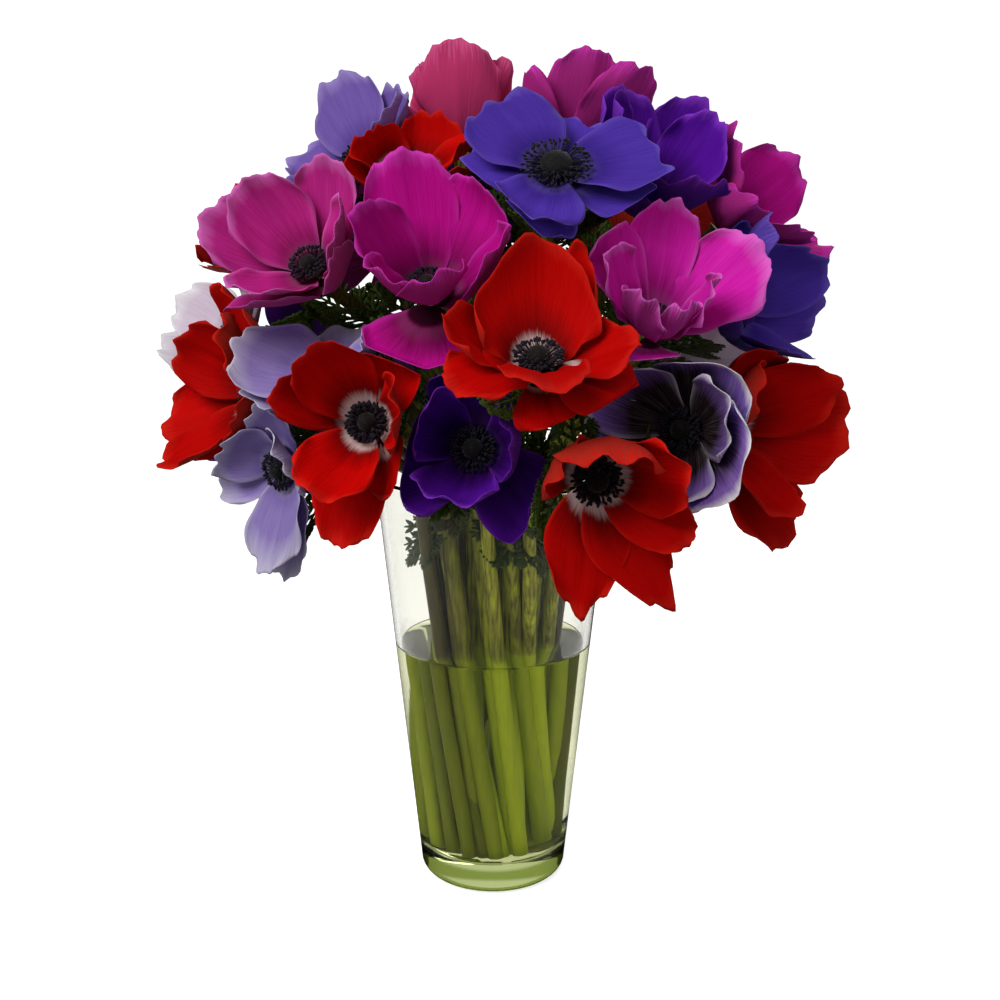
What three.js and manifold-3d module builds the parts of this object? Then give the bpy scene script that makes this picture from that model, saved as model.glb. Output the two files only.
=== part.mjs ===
// A bouquet of cut anemones in a clear tapered glass vase, half full of water.
// Millimetres, +Z up. The origin is the middle of the vase's flat underside, and the bouquet faces -Y.
import * as THREE from 'three';
import { mergeVertices } from 'three/addons/utils/BufferGeometryUtils.js';
import Module from 'manifold-3d';

const wasm = await Module();
wasm.setup();

// Vase and water
const VASE_HEIGHT = 190;
const FOOT_RADIUS = 33.5;
const FLARE = 0.1035;
const WALL = 2.6;
const FLOOR = 14;
const FOOT_ROUND = 5;
const FLOOR_ROUND = 5;
const VASE_SIDES = 26;
const WATER_LEVEL = 111;
const GAP = 0.3;

// Stems
const STEM_RADIUS = 3.6;
const STEM_SIDES = 5;
const LOW_STEPS = 2;
const HIGH_STEPS = 3;
const NECK_LEVEL = 186;
const NECK_RADIUS = 40;
const FULL_LEAN = 83;
const STEM_SCATTER = 16;
const STEM_LEAN = 0.0007;
const FOOT_SPREAD = 0.62;
const FOOT_WIDEST = 21.5;
const FOOT_AT = [-2.5, 2];
const FOOT_MIDDLE = 2;
const SPIRAL = 60;
const BELOW_PULL = 0.4;
const HEAD_PULL = 46;

// Leaves: a collar leaf on most stems, and fronds that grow out of the bundle
const LEAF_NET = [[0, 0], [0.5, 2], [1, 4]];
const LEAF_THICKNESS = 1.3;
const LEAF_LENGTH = 40;
const LEAF_WIDTH = 34;
const COLLAR_LEAVES = 1;
const COLLAR_PLACE = 0.62;
const LEAF_CUT = 0.62;
const LEAF_BLUNT = 0.22;
const LEAF_CUP = 0.18;
const LEAF_SPREAD = 0.55;
const FROND_ROOT = 14;

// Blooms
const HUB_RADIUS = 5;
const HUB_HEIGHT = 3.6;
const PETAL_START = 2.2;
const PETAL_THICKNESS = 1.2;
const PETAL_NET = [[0, 0], [0.32, 2], [0.66, 4], [1, 4]];
const FINE_NET = [[0, 0], [0.28, 2], [0.52, 4], [0.76, 4], [1, 4]];
const CLAW = 0.1;
const BROADEN = 0.62;
const TIP_ROUND = 0.2;
const WAVE_TURNS = 3.6;
const WAVE_MIDDLE = 0.35;
const WHORL_STEP = 13;
const WHORL_SHARE = 0.94;
const CELL_CLEAR = 0.9;
const RIM_CLEAR = 2;
const CELL_SOFT = 0.76;
const HEART_SHARE = 0.34;
const CENTRE_POINTS = 7;
const CENTRE_FOOT = 1.5;
const CENTRE_BASE = HUB_HEIGHT / 2 + GAP;
const CENTRE_CLEAR = 1.9;
const CONE_CLEAR = 1.1;
const CENTRE_NARROWEST = 4;
const CENTRE_HIGHEST = 9;

// Colours
const TINTS = {
  red: 0xc8100c,
  magenta: 0xc0148c,
  pink: 0xd0307a,
  blue: 0x4a2fb0,
  violet: 0x5a1496,
  lavender: 0x8f7fc4,
  lilac: 0xb9a2dc,
  white: 0xe6dcee,
};
const CENTRE_TINT = 0x0c0812;
const STEM_TINT = 0x6f8f2a;
const GLASS_TINT = 0xdfe8e2;
const WATER_TINT = 0xcfe0c0;

// Each bloom: where its petals meet the stem (at), where it faces (degrees right of the front, degrees
// above the level), the petals' length (size), its weight where it shares out the space with its neighbours
// (room), how many petals it has, their rise above the bloom's plane at the base and their bend towards its
// axis in degrees, the first petal's turn clockwise from the top, and the disc's radius. Where given: a
// finer net (fine), the number of collar leaves, a sideways pull on the stem at the neck (bow), and numbers
// of a petal's own.
const BLOOMS = [
  { name: 'red_front', tint: 'red', at: [16, -104, 245], face: [2, 58], size: 52, room: 64,
    petals: 8, rise: 24, bend: 20, turn: 0, disc: 9.5, seed: 1, fine: true, leaves: 0, own: {
    0: { turn: 26, length: 56, width: 50, rise: 26, bend: 38, tip: 0.42, taper: 0.7 },
    1: { turn: 92, length: 38, width: 54, rise: 26, bend: 10 },
    2: { turn: 168, length: 34, width: 50, rise: 20, bend: -60 },
    3: { turn: 276, length: 44, width: 58, rise: 28, bend: 24 },
    4: { turn: -8, length: 52, width: 140, spread: 1.5, rise: 32, bend: 46, tip: 0.5, taper: 0.62 },
    5: { turn: 124, length: 60, width: 54, rise: 36, bend: -106 },
    6: { turn: 236, length: 40, width: 46, rise: 40, bend: -40 },
    7: { turn: 180, length: 40, width: 48, rise: 38, bend: 30, curl: 16, base: 1.4 } } },
  { name: 'blue_crown', tint: 'blue', at: [24, -62, 317], face: [0, 46], size: 52, room: 60,
    petals: 7, rise: 0, bend: -20, turn: 20, disc: 12, seed: 2, leaves: 0 },
  { name: 'magenta_left', tint: 'magenta', at: [-24, -68, 270], face: [-8, 46], size: 56, room: 64,
    petals: 7, rise: 26, bend: 40, turn: -12, disc: 9, seed: 3, own: {
    0: { turn: -16, length: 58, width: 58 }, 1: { turn: 36, length: 60, width: 50 },
    2: { turn: 98, length: 54, width: 58 },
    3: { turn: 190, length: 54, width: 110, spread: 1.3, rise: -14, bend: -14 },
    4: { turn: 152, length: 38, width: 58, rise: 40, bend: 40 },
    5: { turn: 226, length: 38, width: 52, rise: 42, bend: 40 },
    6: { turn: 290, length: 46, width: 52 } } },
  { name: 'pink_left', tint: 'pink', at: [-71, -42, 279], face: [-20, 34], size: 50, room: 56,
    petals: 7, rise: 22, bend: 34, turn: 15, disc: 7, seed: 4, bow: [60, 190, 0] },
  { name: 'lavender_upper_left', tint: 'lavender', at: [-54, 8, 325], face: [-50, 44], size: 52, room: 52,
    petals: 6, rise: 10, bend: 8, turn: 14, disc: 8, seed: 5 },
  { name: 'red_upper_left', tint: 'red', at: [-35, -12, 317], face: [-6, 58], size: 48, room: 50,
    petals: 5, rise: 14, bend: 22, turn: 20, disc: 8, seed: 6, leaves: 0 },
  { name: 'pink_crown', tint: 'pink', at: [-14, 22, 331], face: [176, 62], size: 46, room: 54,
    petals: 6, rise: 26, bend: 40, turn: 0, disc: 0, seed: 7, leaves: 0,
    own: { 0: { width: 66 }, 1: { width: 60 }, 2: { width: 60 } } },
  { name: 'magenta_crown', tint: 'magenta', at: [32, 24, 328], face: [165, 58], size: 50, room: 54,
    petals: 7, rise: 16, bend: 30, turn: 30, disc: 8, seed: 8, leaves: 0 },
  { name: 'violet_crown', tint: 'violet', at: [64, -16, 303], face: [24, 50], size: 54, room: 56,
    petals: 6, rise: 24, bend: 40, turn: 0, disc: 9, seed: 9, leaves: 0, own: {
    0: { turn: -24, length: 54, width: 70, rise: 26 }, 1: { turn: 50, length: 56, width: 66, rise: 26 } } },
  { name: 'magenta_right', tint: 'magenta', at: [99, 2, 298], face: [66, 38], size: 52, room: 57,
    petals: 6, rise: 20, bend: 22, turn: 20, disc: 8, seed: 10 },
  { name: 'blue_right', tint: 'blue', at: [96, -16, 264], face: [58, 11], size: 63, room: 58,
    petals: 7, rise: 22, bend: 12, turn: 0, disc: 9, seed: 11 },
  { name: 'magenta_front', tint: 'magenta', at: [61, -62, 257], face: [10, 40], size: 50, room: 60,
    petals: 8, rise: 30, bend: 30, turn: 10, disc: 6, seed: 12, leaves: 0, own: {
    0: { turn: -34, length: 56, width: 34 }, 1: { turn: 8, length: 60, width: 42 },
    2: { turn: 70, length: 54, width: 60 },
    3: { turn: 190, length: 38, width: 60, rise: 10, bend: 0 },
    4: { turn: 112, length: 42, width: 54, rise: 44, bend: 54 },
    5: { turn: 166, length: 40, width: 56, rise: 46, bend: 50 },
    6: { turn: 232, length: 40, width: 54, rise: 44, bend: 54 },
    7: { turn: 300, length: 42, width: 44 } } },
  { name: 'white_front', tint: 'white', at: [78, -62, 219], face: [-34, 6], size: 54, room: 63,
    petals: 6, rise: 26, bend: 34, turn: 0, disc: 8, seed: 13, own: {
    0: { turn: 30, length: 50, width: 82, spread: 1.1, bend: 30 },
    1: { turn: 112, length: 50, width: 88, spread: 1.1, bend: 26 },
    2: { turn: 250, length: 43, width: 66 }, 3: { turn: 70, length: 42, width: 54, rise: 30, bend: 34 },
    4: { turn: 174, length: 44, width: 60, rise: 30 },
    5: { turn: 306, length: 48, width: 60, rise: 30 } } },
  { name: 'red_right', tint: 'red', at: [94, -28, 215], face: [46, 4], size: 58, room: 62,
    petals: 7, rise: 26, bend: 20, turn: 3, disc: 7, seed: 14,
    own: { 0: { width: 74 }, 1: { width: 88, spread: 1 }, 2: { width: 88, spread: 1 }, 3: { width: 72 } } },
  { name: 'red_low', tint: 'red', at: [38, -96, 207], face: [2, -4], size: 54, room: 62,
    petals: 6, rise: 20, bend: 30, turn: 0, disc: 8.5, seed: 15, own: {
    0: { turn: 186, length: 56, width: 42, rise: 4, bend: -8, tip: 0.32, taper: 0.68 },
    1: { turn: 150, length: 60, width: 44, rise: 6, bend: -4, tip: 0.34, taper: 0.7 },
    2: { turn: 300, length: 44, width: 40, rise: 20, bend: 90 },
    3: { turn: 6, length: 58, width: 74, spread: 1.1, rise: 34, bend: 76, base: -0.3 },
    4: { turn: 76, length: 46, width: 46, rise: 27, bend: 56 },
    5: { turn: 118, length: 42, width: 34, rise: 20, bend: 20 } } },
  { name: 'violet_front', tint: 'violet', at: [-6, -70, 212], face: [-12, 14], size: 46, room: 60,
    petals: 6, rise: 26, bend: 56, turn: 0, disc: 8, seed: 16, own: {
    0: { turn: 8, length: 50, width: 72, rise: 20, bend: 52 },
    1: { turn: 134, length: 46, width: 48, rise: 2, bend: 6 },
    2: { turn: 250, length: 46, width: 66, rise: 20, bend: 44 },
    3: { turn: 84, length: 48, width: 62, rise: 32, bend: 56 },
    4: { turn: 190, length: 42, width: 64, rise: 34, bend: 54 },
    5: { turn: 300, length: 46, width: 58, rise: 32, bend: 58 } } },
  { name: 'red_left', tint: 'red', at: [-47, -76, 223], face: [-6, 16], size: 46, room: 58,
    petals: 7, rise: 24, bend: 24, turn: 30, disc: 9, seed: 17, own: {
    1: { turn: 150, length: 50, width: 40, rise: 16, bend: 6, tip: 0.4, taper: 0.78 },
    2: { turn: 190, length: 48, width: 40, rise: 14, bend: 4 },
    4: { turn: 84, length: 44, width: 58, rise: 42, bend: 60 } } },
  { name: 'lilac_low', tint: 'lilac', at: [-83, -48, 202], face: [-40, -10], size: 43, room: 54,
    petals: 7, rise: 16, bend: 8, turn: 0, disc: 7, seed: 18 },
  { name: 'red_far_left', tint: 'red', at: [-96, -20, 229], face: [-56, 10], size: 54, room: 58,
    petals: 6, rise: 24, bend: 20, turn: 0, disc: 8, seed: 19 },
  { name: 'white_left', tint: 'white', at: [-110, 8, 250], face: [-58, 36], size: 42, room: 50,
    petals: 5, rise: 20, bend: 14, turn: 0, disc: 7, seed: 20, leaves: 0 },
  { name: 'red_upper_far_left', tint: 'red', at: [-102, 10, 283], face: [-70, 50], size: 42, room: 50,
    petals: 5, rise: 20, bend: 16, turn: 30, disc: 7, seed: 21 },
  { name: 'lavender_inner', tint: 'lavender', at: [-64, -57, 239], face: [-14, 50], size: 56, room: 54,
    petals: 5, rise: 8, bend: -6, turn: 0, disc: 7, seed: 22, leaves: 0, own: { 0: { length: 26 } } },
  { name: 'blue_back', tint: 'blue', at: [4, 60, 306], face: [176, 40], size: 60, room: 60,
    petals: 5, rise: 10, bend: 6, turn: 0, disc: 10, seed: 23 },
  { name: 'red_back_right', tint: 'red', at: [62, 46, 288], face: [136, 34], size: 62, room: 60,
    petals: 5, rise: 12, bend: 24, turn: 0, disc: 7.5, seed: 24 },
  { name: 'magenta_back_left', tint: 'magenta', at: [-54, 52, 284], face: [-140, 36], size: 62, room: 60,
    petals: 5, rise: 14, bend: 22, turn: 0, disc: 7.5, seed: 25 },
  { name: 'red_back', tint: 'red', at: [10, 74, 250], face: [-176, 12], size: 64, room: 62,
    petals: 5, rise: 12, bend: 20, turn: 0, disc: 8.5, seed: 26 },
  { name: 'violet_back_left', tint: 'violet', at: [-84, 42, 226], face: [-124, 8], size: 64, room: 62,
    petals: 5, rise: 14, bend: 24, turn: 0, disc: 7.5, seed: 27 },
  { name: 'white_back_right', tint: 'white', at: [80, 50, 228], face: [132, 8], size: 64, room: 62,
    petals: 5, rise: 12, bend: 20, turn: 0, disc: 7.5, seed: 28 },
  { name: 'lavender_back', tint: 'lavender', at: [-38, 74, 210], face: [-164, -4], size: 60, room: 56,
    petals: 5, rise: 12, bend: 14, turn: 0, disc: 8, seed: 29 },
];

// Fronds at the neck and inside the bouquet: degrees right of the front, level, length, width and how
// steeply they drop, or rise where that is below 0
const FRONDS = [
  { around: 38, level: 186, reach: 38, width: 44, drop: 0.95 },
  { around: -58, level: 184, reach: 38, width: 40, drop: 0.9 },
  { around: 100, level: 184, reach: 36, width: 42, drop: 0.8 },
  { around: 190, level: 184, reach: 36, width: 44, drop: 0.8 },
  { around: -80, level: 206, reach: 72, width: 58, drop: -1 },
  { around: 10, level: 204, reach: 50, width: 58, drop: -1.3 },
  { around: 58, level: 204, reach: 56, width: 56, drop: -0.9 },
  { around: 96, level: 206, reach: 70, width: 56, drop: -1.7 },
  { around: 180, level: 206, reach: 64, width: 60, drop: -1.2 },
];

// Small vector helpers on [x, y, z] lists
const add = (a, b) => [a[0] + b[0], a[1] + b[1], a[2] + b[2]];
const subtract = (a, b) => [a[0] - b[0], a[1] - b[1], a[2] - b[2]];
const scale = (a, k) => [a[0] * k, a[1] * k, a[2] * k];
const dot = (a, b) => a[0] * b[0] + a[1] * b[1] + a[2] * b[2];
const cross = (a, b) => [a[1] * b[2] - a[2] * b[1], a[2] * b[0] - a[0] * b[2], a[0] * b[1] - a[1] * b[0]];
const size = (a) => Math.hypot(a[0], a[1], a[2]);
const unit = (a) => scale(a, 1 / (size(a) || 1));
const mix = (pairs) => pairs.reduce((sum, [v, k]) => add(sum, scale(v, k)), [0, 0, 0]);
const radians = (degrees) => degrees * Math.PI / 180;

// The glass's outer and inner radius at a height
const glassRadius = (z) => FOOT_RADIUS + FLARE * z;
const innerRadius = (z) => glassRadius(z) - WALL;

// The same number from 0 to 1 for the same seed, petal and channel
function draw(seed, k, channel) {
  const wave = Math.sin(seed * 127.1 + k * 311.7 + channel * 74.7) * 43758.5453;
  return wave - Math.floor(wave);
}

function manifoldFrom(points, triangles) {
  const mesh = new wasm.Mesh({
    numProp: 3,
    vertProperties: new Float32Array(points.flat()),
    triVerts: new Uint32Array(triangles.flat()),
  });
  return new wasm.Manifold(mesh);
}

function manifoldFromGeometry(geometry) {
  geometry.deleteAttribute('normal');
  geometry.deleteAttribute('uv');
  const merged = mergeVertices(geometry, 1e-3);
  const mesh = new wasm.Mesh({
    numProp: 3,
    vertProperties: new Float32Array(merged.attributes.position.array),
    triVerts: new Uint32Array(merged.index.array),
  });
  return new wasm.Manifold(mesh);
}

function namedMesh(name, solid, material) {
  const { vertProperties, triVerts } = solid.getMesh();
  const geometry = new THREE.BufferGeometry();
  geometry.setAttribute('position', new THREE.BufferAttribute(new Float32Array(vertProperties), 3));
  geometry.setIndex(new THREE.BufferAttribute(new Uint32Array(triVerts), 1));
  geometry.computeVertexNormals();
  const mesh = new THREE.Mesh(geometry, material);
  mesh.name = name;
  return mesh;
}

const largestPiece = (solid) => solid.decompose().sort((a, b) => b.volume() - a.volume())[0];

// A bloom's own axes: face out of it, up and right across it, as someone who looks into it sees them
function axesOf(bloom) {
  const [turned, raised] = bloom.face.map(radians);
  const face = [
    Math.sin(turned) * Math.cos(raised),
    -Math.cos(turned) * Math.cos(raised),
    Math.sin(raised),
  ];
  const up = unit(subtract([0, 0, 1], scale(face, face[2])));
  return { face, up, right: cross(up, face) };
}

const heartOf = (bloom) => add(bloom.at, scale(axesOf(bloom).face, bloom.size * HEART_SHARE));

// The flat walls that keep a bloom clear of its neighbours and of the vase, as directions and distances
function wallsOf(bloom) {
  const heart = heartOf(bloom);
  const walls = [];
  for (const other of BLOOMS) {
    if (other === bloom) continue;
    const away = subtract(heartOf(other), heart);
    const apart = size(away);
    const middle = (apart * apart + bloom.room ** 2 - other.room ** 2) / (2 * apart);
    walls.push({ normal: unit(away), distance: middle - CELL_CLEAR });
  }
  const outward = Math.hypot(heart[0], heart[1]);
  const rim = glassRadius(VASE_HEIGHT) + RIM_CLEAR;
  if (heart[2] - bloom.size < VASE_HEIGHT + RIM_CLEAR) {
    walls.push({ normal: [-heart[0] / outward, -heart[1] / outward, 0], distance: outward - rim });
  }
  return walls;
}

// A point past its share of the way to the nearest wall is drawn in smoothly, so it never passes the wall
function keepInCell(point, heart, walls) {
  const away = subtract(point, heart);
  const far = size(away);
  if (far < 1e-6) return point;
  const toward = scale(away, 1 / far);
  let reach = Infinity;
  for (const wall of walls) {
    const slope = dot(toward, wall.normal);
    if (slope > 1e-6) reach = Math.min(reach, wall.distance / slope);
  }
  const start = reach * CELL_SOFT;
  if (far <= start) return point;
  const room = reach - start;
  return add(heart, scale(toward, start + room * (1 - Math.exp(-(far - start) / room))));
}

// What each petal of a bloom is like. An outer and an inner whorl take turns round the bloom, and the inner
// one rises more steeply, so that the whorls nest. Each petal differs a little, and a bloom may name its
// own.
function petalsOf(bloom) {
  const list = [];
  const outer = Math.ceil(bloom.petals / 2);
  const own = bloom.own || {};
  for (let k = 0; k < bloom.petals; k += 1) {
    const inner = k >= outer ? 1 : 0;
    const whorl = inner ? bloom.petals - outer : outer;
    const place = inner ? k - outer + 0.5 : k;
    const r = (channel) => draw(bloom.seed, k, channel) - 0.5;
    list.push({
      turn: bloom.turn + place * 360 / whorl + 10 * r(1),
      length: bloom.size * (1 + 0.14 * r(2)) * (inner ? 0.96 : 1),
      width: bloom.size * (1 + 0.2 * r(3)),
      spread: WHORL_SHARE * Math.PI / whorl,
      base: inner ? 0.7 : -0.8,
      rise: bloom.rise + WHORL_STEP * inner + 5 * r(4),
      bend: bloom.bend + 12 * r(5),
      cup: 0.1 * r(6),
      curl: 5 * r(7),
      sweep: 0.1 * r(8),
      wave: 2.2 + 2 * r(9),
      phase: 2 * Math.PI * draw(bloom.seed, k, 10),
      tip: TIP_ROUND,
      taper: BROADEN,
      ...own[k],
    });
  }
  return list;
}

// One point of a petal, at u from its base to its tip and v across it. The petal lies on a bowl that is
// turned round the bloom's axis with an arc for its outline. It has an obovate outline, and leaves the bowl
// by a cup across it, a curl at its tip and a wave that grows towards its edge.
function petalPoint(bloom, axes, petal, u, v) {
  const s = u * (1 - petal.tip * Math.abs(v) ** (petal.tip > TIP_ROUND ? 1.3 : 2.2));
  const rise = radians(petal.rise);
  const bend = radians(petal.bend) || 1e-3;
  const angle = rise + bend * s;
  const along = PETAL_START + petal.length / bend * (Math.sin(angle) - Math.sin(rise));
  const height = petal.base + petal.length / bend * (Math.cos(rise) - Math.cos(angle));
  const half = petal.width / 2 * Math.sin(Math.PI * (CLAW + petal.taper * u));
  const swing = petal.spread * Math.tanh(half / (Math.max(along, 1) * petal.spread));
  const around = radians(petal.turn) + swing * v + petal.sweep * s * s;
  const out = mix([[axes.up, Math.cos(around)], [axes.right, Math.sin(around)]]);
  const inward = mix([[out, -Math.sin(angle)], [axes.face, Math.cos(angle)]]);
  const edge = WAVE_MIDDLE + (1 - WAVE_MIDDLE) * v * v;
  const lift = petal.cup * half * v * v - petal.curl * s ** 4
    + petal.wave * s * s * Math.sin(petal.phase + WAVE_TURNS * v) * edge;
  return mix([[bloom.at, 1], [out, along], [axes.face, height], [inward, lift]]);
}

// The triangles between two rows of a net, where the next row has as many steps as this one, or twice as
// many
function rowTriangles(low, high) {
  const triangles = [];
  if (low.length === 1) {
    for (let j = 0; j < high.length - 1; j += 1) triangles.push([low[0], high[j], high[j + 1]]);
    return triangles;
  }
  const doubled = high.length > low.length;
  for (let j = 0; j < low.length - 1; j += 1) {
    const [a, b] = [low[j], low[j + 1]];
    if (doubled) {
      const [c, d, e] = [high[2 * j], high[2 * j + 1], high[2 * j + 2]];
      triangles.push([a, c, d], [a, d, b], [b, d, e]);
    } else {
      const [c, d] = [high[j], high[j + 1]];
      if (j < (low.length - 1) / 2) triangles.push([a, c, b], [b, c, d]);
      else triangles.push([a, c, d], [a, d, b]);
    }
  }
  return triangles;
}

// A thin blade through rows of points, the first of which is one point. Both faces are split alike and meet
// in a sharp edge all round.
function blade(rows, thickness) {
  const middle = rows.flat();
  const index = [];
  rows.forEach((row) => index.push(row.map((_, j) => index.flat().length + j)));
  const sheet = [];
  for (let i = 0; i < rows.length - 1; i += 1) sheet.push(...rowTriangles(index[i], index[i + 1]));
  const normals = middle.map(() => [0, 0, 0]);
  for (const triangle of sheet) {
    const [a, b, c] = triangle.map((k) => middle[k]);
    const normal = cross(subtract(b, a), subtract(c, a));
    for (const k of triangle) normals[k] = add(normals[k], normal);
  }
  const points = [...middle];
  const back = middle.map((_, k) => k);
  rows.forEach((row, i) => {
    if (i === 0 || i === rows.length - 1) return;
    for (let j = 1; j < row.length - 1; j += 1) {
      const k = index[i][j];
      const offset = scale(unit(normals[k]), thickness / 2);
      points[k] = add(middle[k], offset);
      back[k] = points.length;
      points.push(subtract(middle[k], offset));
    }
  });
  const triangles = [];
  for (const [a, b, c] of sheet) triangles.push([a, b, c], [back[a], back[c], back[b]]);
  return manifoldFrom(points, triangles);
}

// Rows of points for a blade: each entry of the net gives how far along the row is and how many steps cross
// it
function netRows(net, pointAt) {
  return net.map(([u, columns]) => {
    if (columns === 0) return [pointAt(u, 0)];
    return Array.from({ length: columns + 1 }, (_, j) => pointAt(u, 2 * j / columns - 1));
  });
}

// A turned solid on an axis: rings of [radius, height], each closed to a point at both ends
function turned(base, axes, rings, sides, star = () => 1) {
  const points = [add(base, scale(axes.face, rings[0][1]))];
  const inner = rings.slice(1, -1);
  inner.forEach(([radius, height], ring) => {
    for (let k = 0; k < sides; k += 1) {
      const around = 2 * Math.PI * k / sides;
      const reach = radius * star(ring, k);
      points.push(mix([[base, 1], [axes.face, height],
        [axes.up, reach * Math.cos(around)], [axes.right, reach * Math.sin(around)]]));
    }
  });
  points.push(add(base, scale(axes.face, rings[rings.length - 1][1])));
  const last = points.length - 1;
  const triangles = [];
  for (let k = 0; k < sides; k += 1) {
    const next = (k + 1) % sides;
    triangles.push([0, 1 + k, 1 + next]);
    for (let ring = 0; ring < inner.length - 1; ring += 1) {
      const low = 1 + ring * sides;
      const high = low + sides;
      triangles.push([low + k, high + k, high + next]);
      triangles.push([low + k, high + next, low + next]);
    }
    const top = 1 + (inner.length - 1) * sides;
    triangles.push([last, top + next, top + k]);
  }
  return manifoldFrom(points, triangles);
}

// The petals of one bloom, joined at their small hub
function petalBody(bloom) {
  const axes = axesOf(bloom);
  const heart = heartOf(bloom);
  const walls = wallsOf(bloom);
  const hub = turned(bloom.at, axes, [[0, -HUB_HEIGHT / 2], [HUB_RADIUS, 0], [0, HUB_HEIGHT / 2]], 6);
  let body = hub;
  for (const petal of petalsOf(bloom)) {
    const pointAt = (u, v) => keepInCell(petalPoint(bloom, axes, petal, u, v), heart, walls);
    body = body.add(blade(netRows(bloom.fine ? FINE_NET : PETAL_NET, pointAt), PETAL_THICKNESS));
  }
  return largestPiece(body);
}

// The lowest height at which a disc of a given radius, and the cone that carries it, clear the bloom's
// petals
function clearHeight(bloom, radius) {
  const axes = axesOf(bloom);
  const heart = heartOf(bloom);
  const walls = wallsOf(bloom);
  let highest = 0;
  for (const petal of petalsOf(bloom)) {
    for (let u = 0.1; u <= 1.01; u += 0.1) {
      for (let v = -1; v <= 1; v += 0.25) {
        const offset = subtract(keepInCell(petalPoint(bloom, axes, petal, u, v), heart, walls), bloom.at);
        const height = dot(offset, axes.face);
        const out = size(subtract(offset, scale(axes.face, height)));
        if (out > radius + 1) continue;
        const slant = Math.max(1, (radius - CENTRE_FOOT) / Math.max(out - CENTRE_FOOT, 1));
        const carried = CENTRE_BASE + (height + CONE_CLEAR - CENTRE_BASE) * slant;
        highest = Math.max(highest, height + CENTRE_CLEAR, carried);
      }
    }
  }
  return highest;
}

// The dark centre: a domed seed head on a cone, in a ring of stamens with pointed tips. In a steep cup it
// is narrower, so that it sits clear of the petals.
function centreBody(bloom) {
  let radius = bloom.disc;
  while (radius > CENTRE_NARROWEST && clearHeight(bloom, radius) > CENTRE_HIGHEST) radius -= 0.5;
  const ring = Math.max(CENTRE_BASE + 2.4, clearHeight(bloom, radius));
  const star = (row, k) => (row === 1 && k % 2 ? 0.76 : 1);
  return turned(bloom.at, axesOf(bloom), [[0, CENTRE_BASE], [CENTRE_FOOT, CENTRE_BASE], [radius, ring],
    [radius * 0.5, ring + 1.6], [0, ring + 4.4]], CENTRE_POINTS, star);
}

// Where a bloom's stem stands on the vase's floor, passes the neck and meets the bloom, and its pull at
// each. The stems of outer blooms pass the neck further out, and all of them lean the same way round, as in
// a hand-tied spiral.
function stemPath(bloom) {
  const { face } = axesOf(bloom);
  const [x, y, z] = bloom.at;
  const head = subtract(bloom.at, scale(face, HUB_HEIGHT / 2 + GAP));
  const lean = Math.min(1, Math.atan2(Math.hypot(x, y), z - NECK_LEVEL) / radians(FULL_LEAN));
  const around = Math.atan2(y, x) + radians(STEM_SCATTER) * (draw(bloom.seed, 0, 21) - 0.5);
  const neckRadius = NECK_RADIUS * lean ** 0.8;
  const neck = [neckRadius * Math.cos(around), neckRadius * Math.sin(around), NECK_LEVEL];
  const spread = neckRadius * FOOT_SPREAD * (0.85 + 0.3 * draw(bloom.seed, 0, 22)) + FOOT_MIDDLE;
  const footRadius = Math.min(FOOT_WIDEST, spread);
  const below = around + radians(SPIRAL * (0.5 + draw(bloom.seed, 0, 23)));
  const footX = FOOT_AT[0] + footRadius * Math.cos(below);
  const footY = FOOT_AT[1] + footRadius * Math.sin(below);
  const foot = [footX, footY, FLOOR + GAP];
  const crown = size(subtract(head, neck));
  const sideways = STEM_LEAN * crown;
  const climb = [sideways * (head[0] - foot[0]), sideways * (head[1] - foot[1]), crown];
  const neckPull = add(climb, bloom.bow || [0, 0, 0]);
  const footPull = subtract(neck, foot);
  return {
    foot,
    footPull,
    neck,
    neckPull,
    neckPullBelow: scale(unit(neckPull), BELOW_PULL * size(footPull)),
    head,
    headPull: scale(face, Math.min(HEAD_PULL, 0.8 * crown)),
  };
}

// A smooth run between two points with a given pull at each end
function hermite(a, pullA, b, pullB, t) {
  const t2 = t * t;
  const t3 = t2 * t;
  return mix([[a, 2 * t3 - 3 * t2 + 1], [pullA, t3 - 2 * t2 + t], [b, 3 * t2 - 2 * t3], [pullB, t3 - t2]]);
}

// Points up the stem: a few steps from the floor to the neck, and a few from the neck to the bloom
function stemPoints(bloom) {
  const { foot, footPull, neck, neckPull, neckPullBelow, head, headPull } = stemPath(bloom);
  const points = [];
  for (let k = 0; k < LOW_STEPS; k += 1) {
    points.push(hermite(foot, footPull, neck, neckPullBelow, k / LOW_STEPS));
  }
  for (let k = 0; k <= HIGH_STEPS; k += 1) {
    points.push(hermite(neck, neckPull, head, headPull, k / HIGH_STEPS));
  }
  return points;
}

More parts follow.
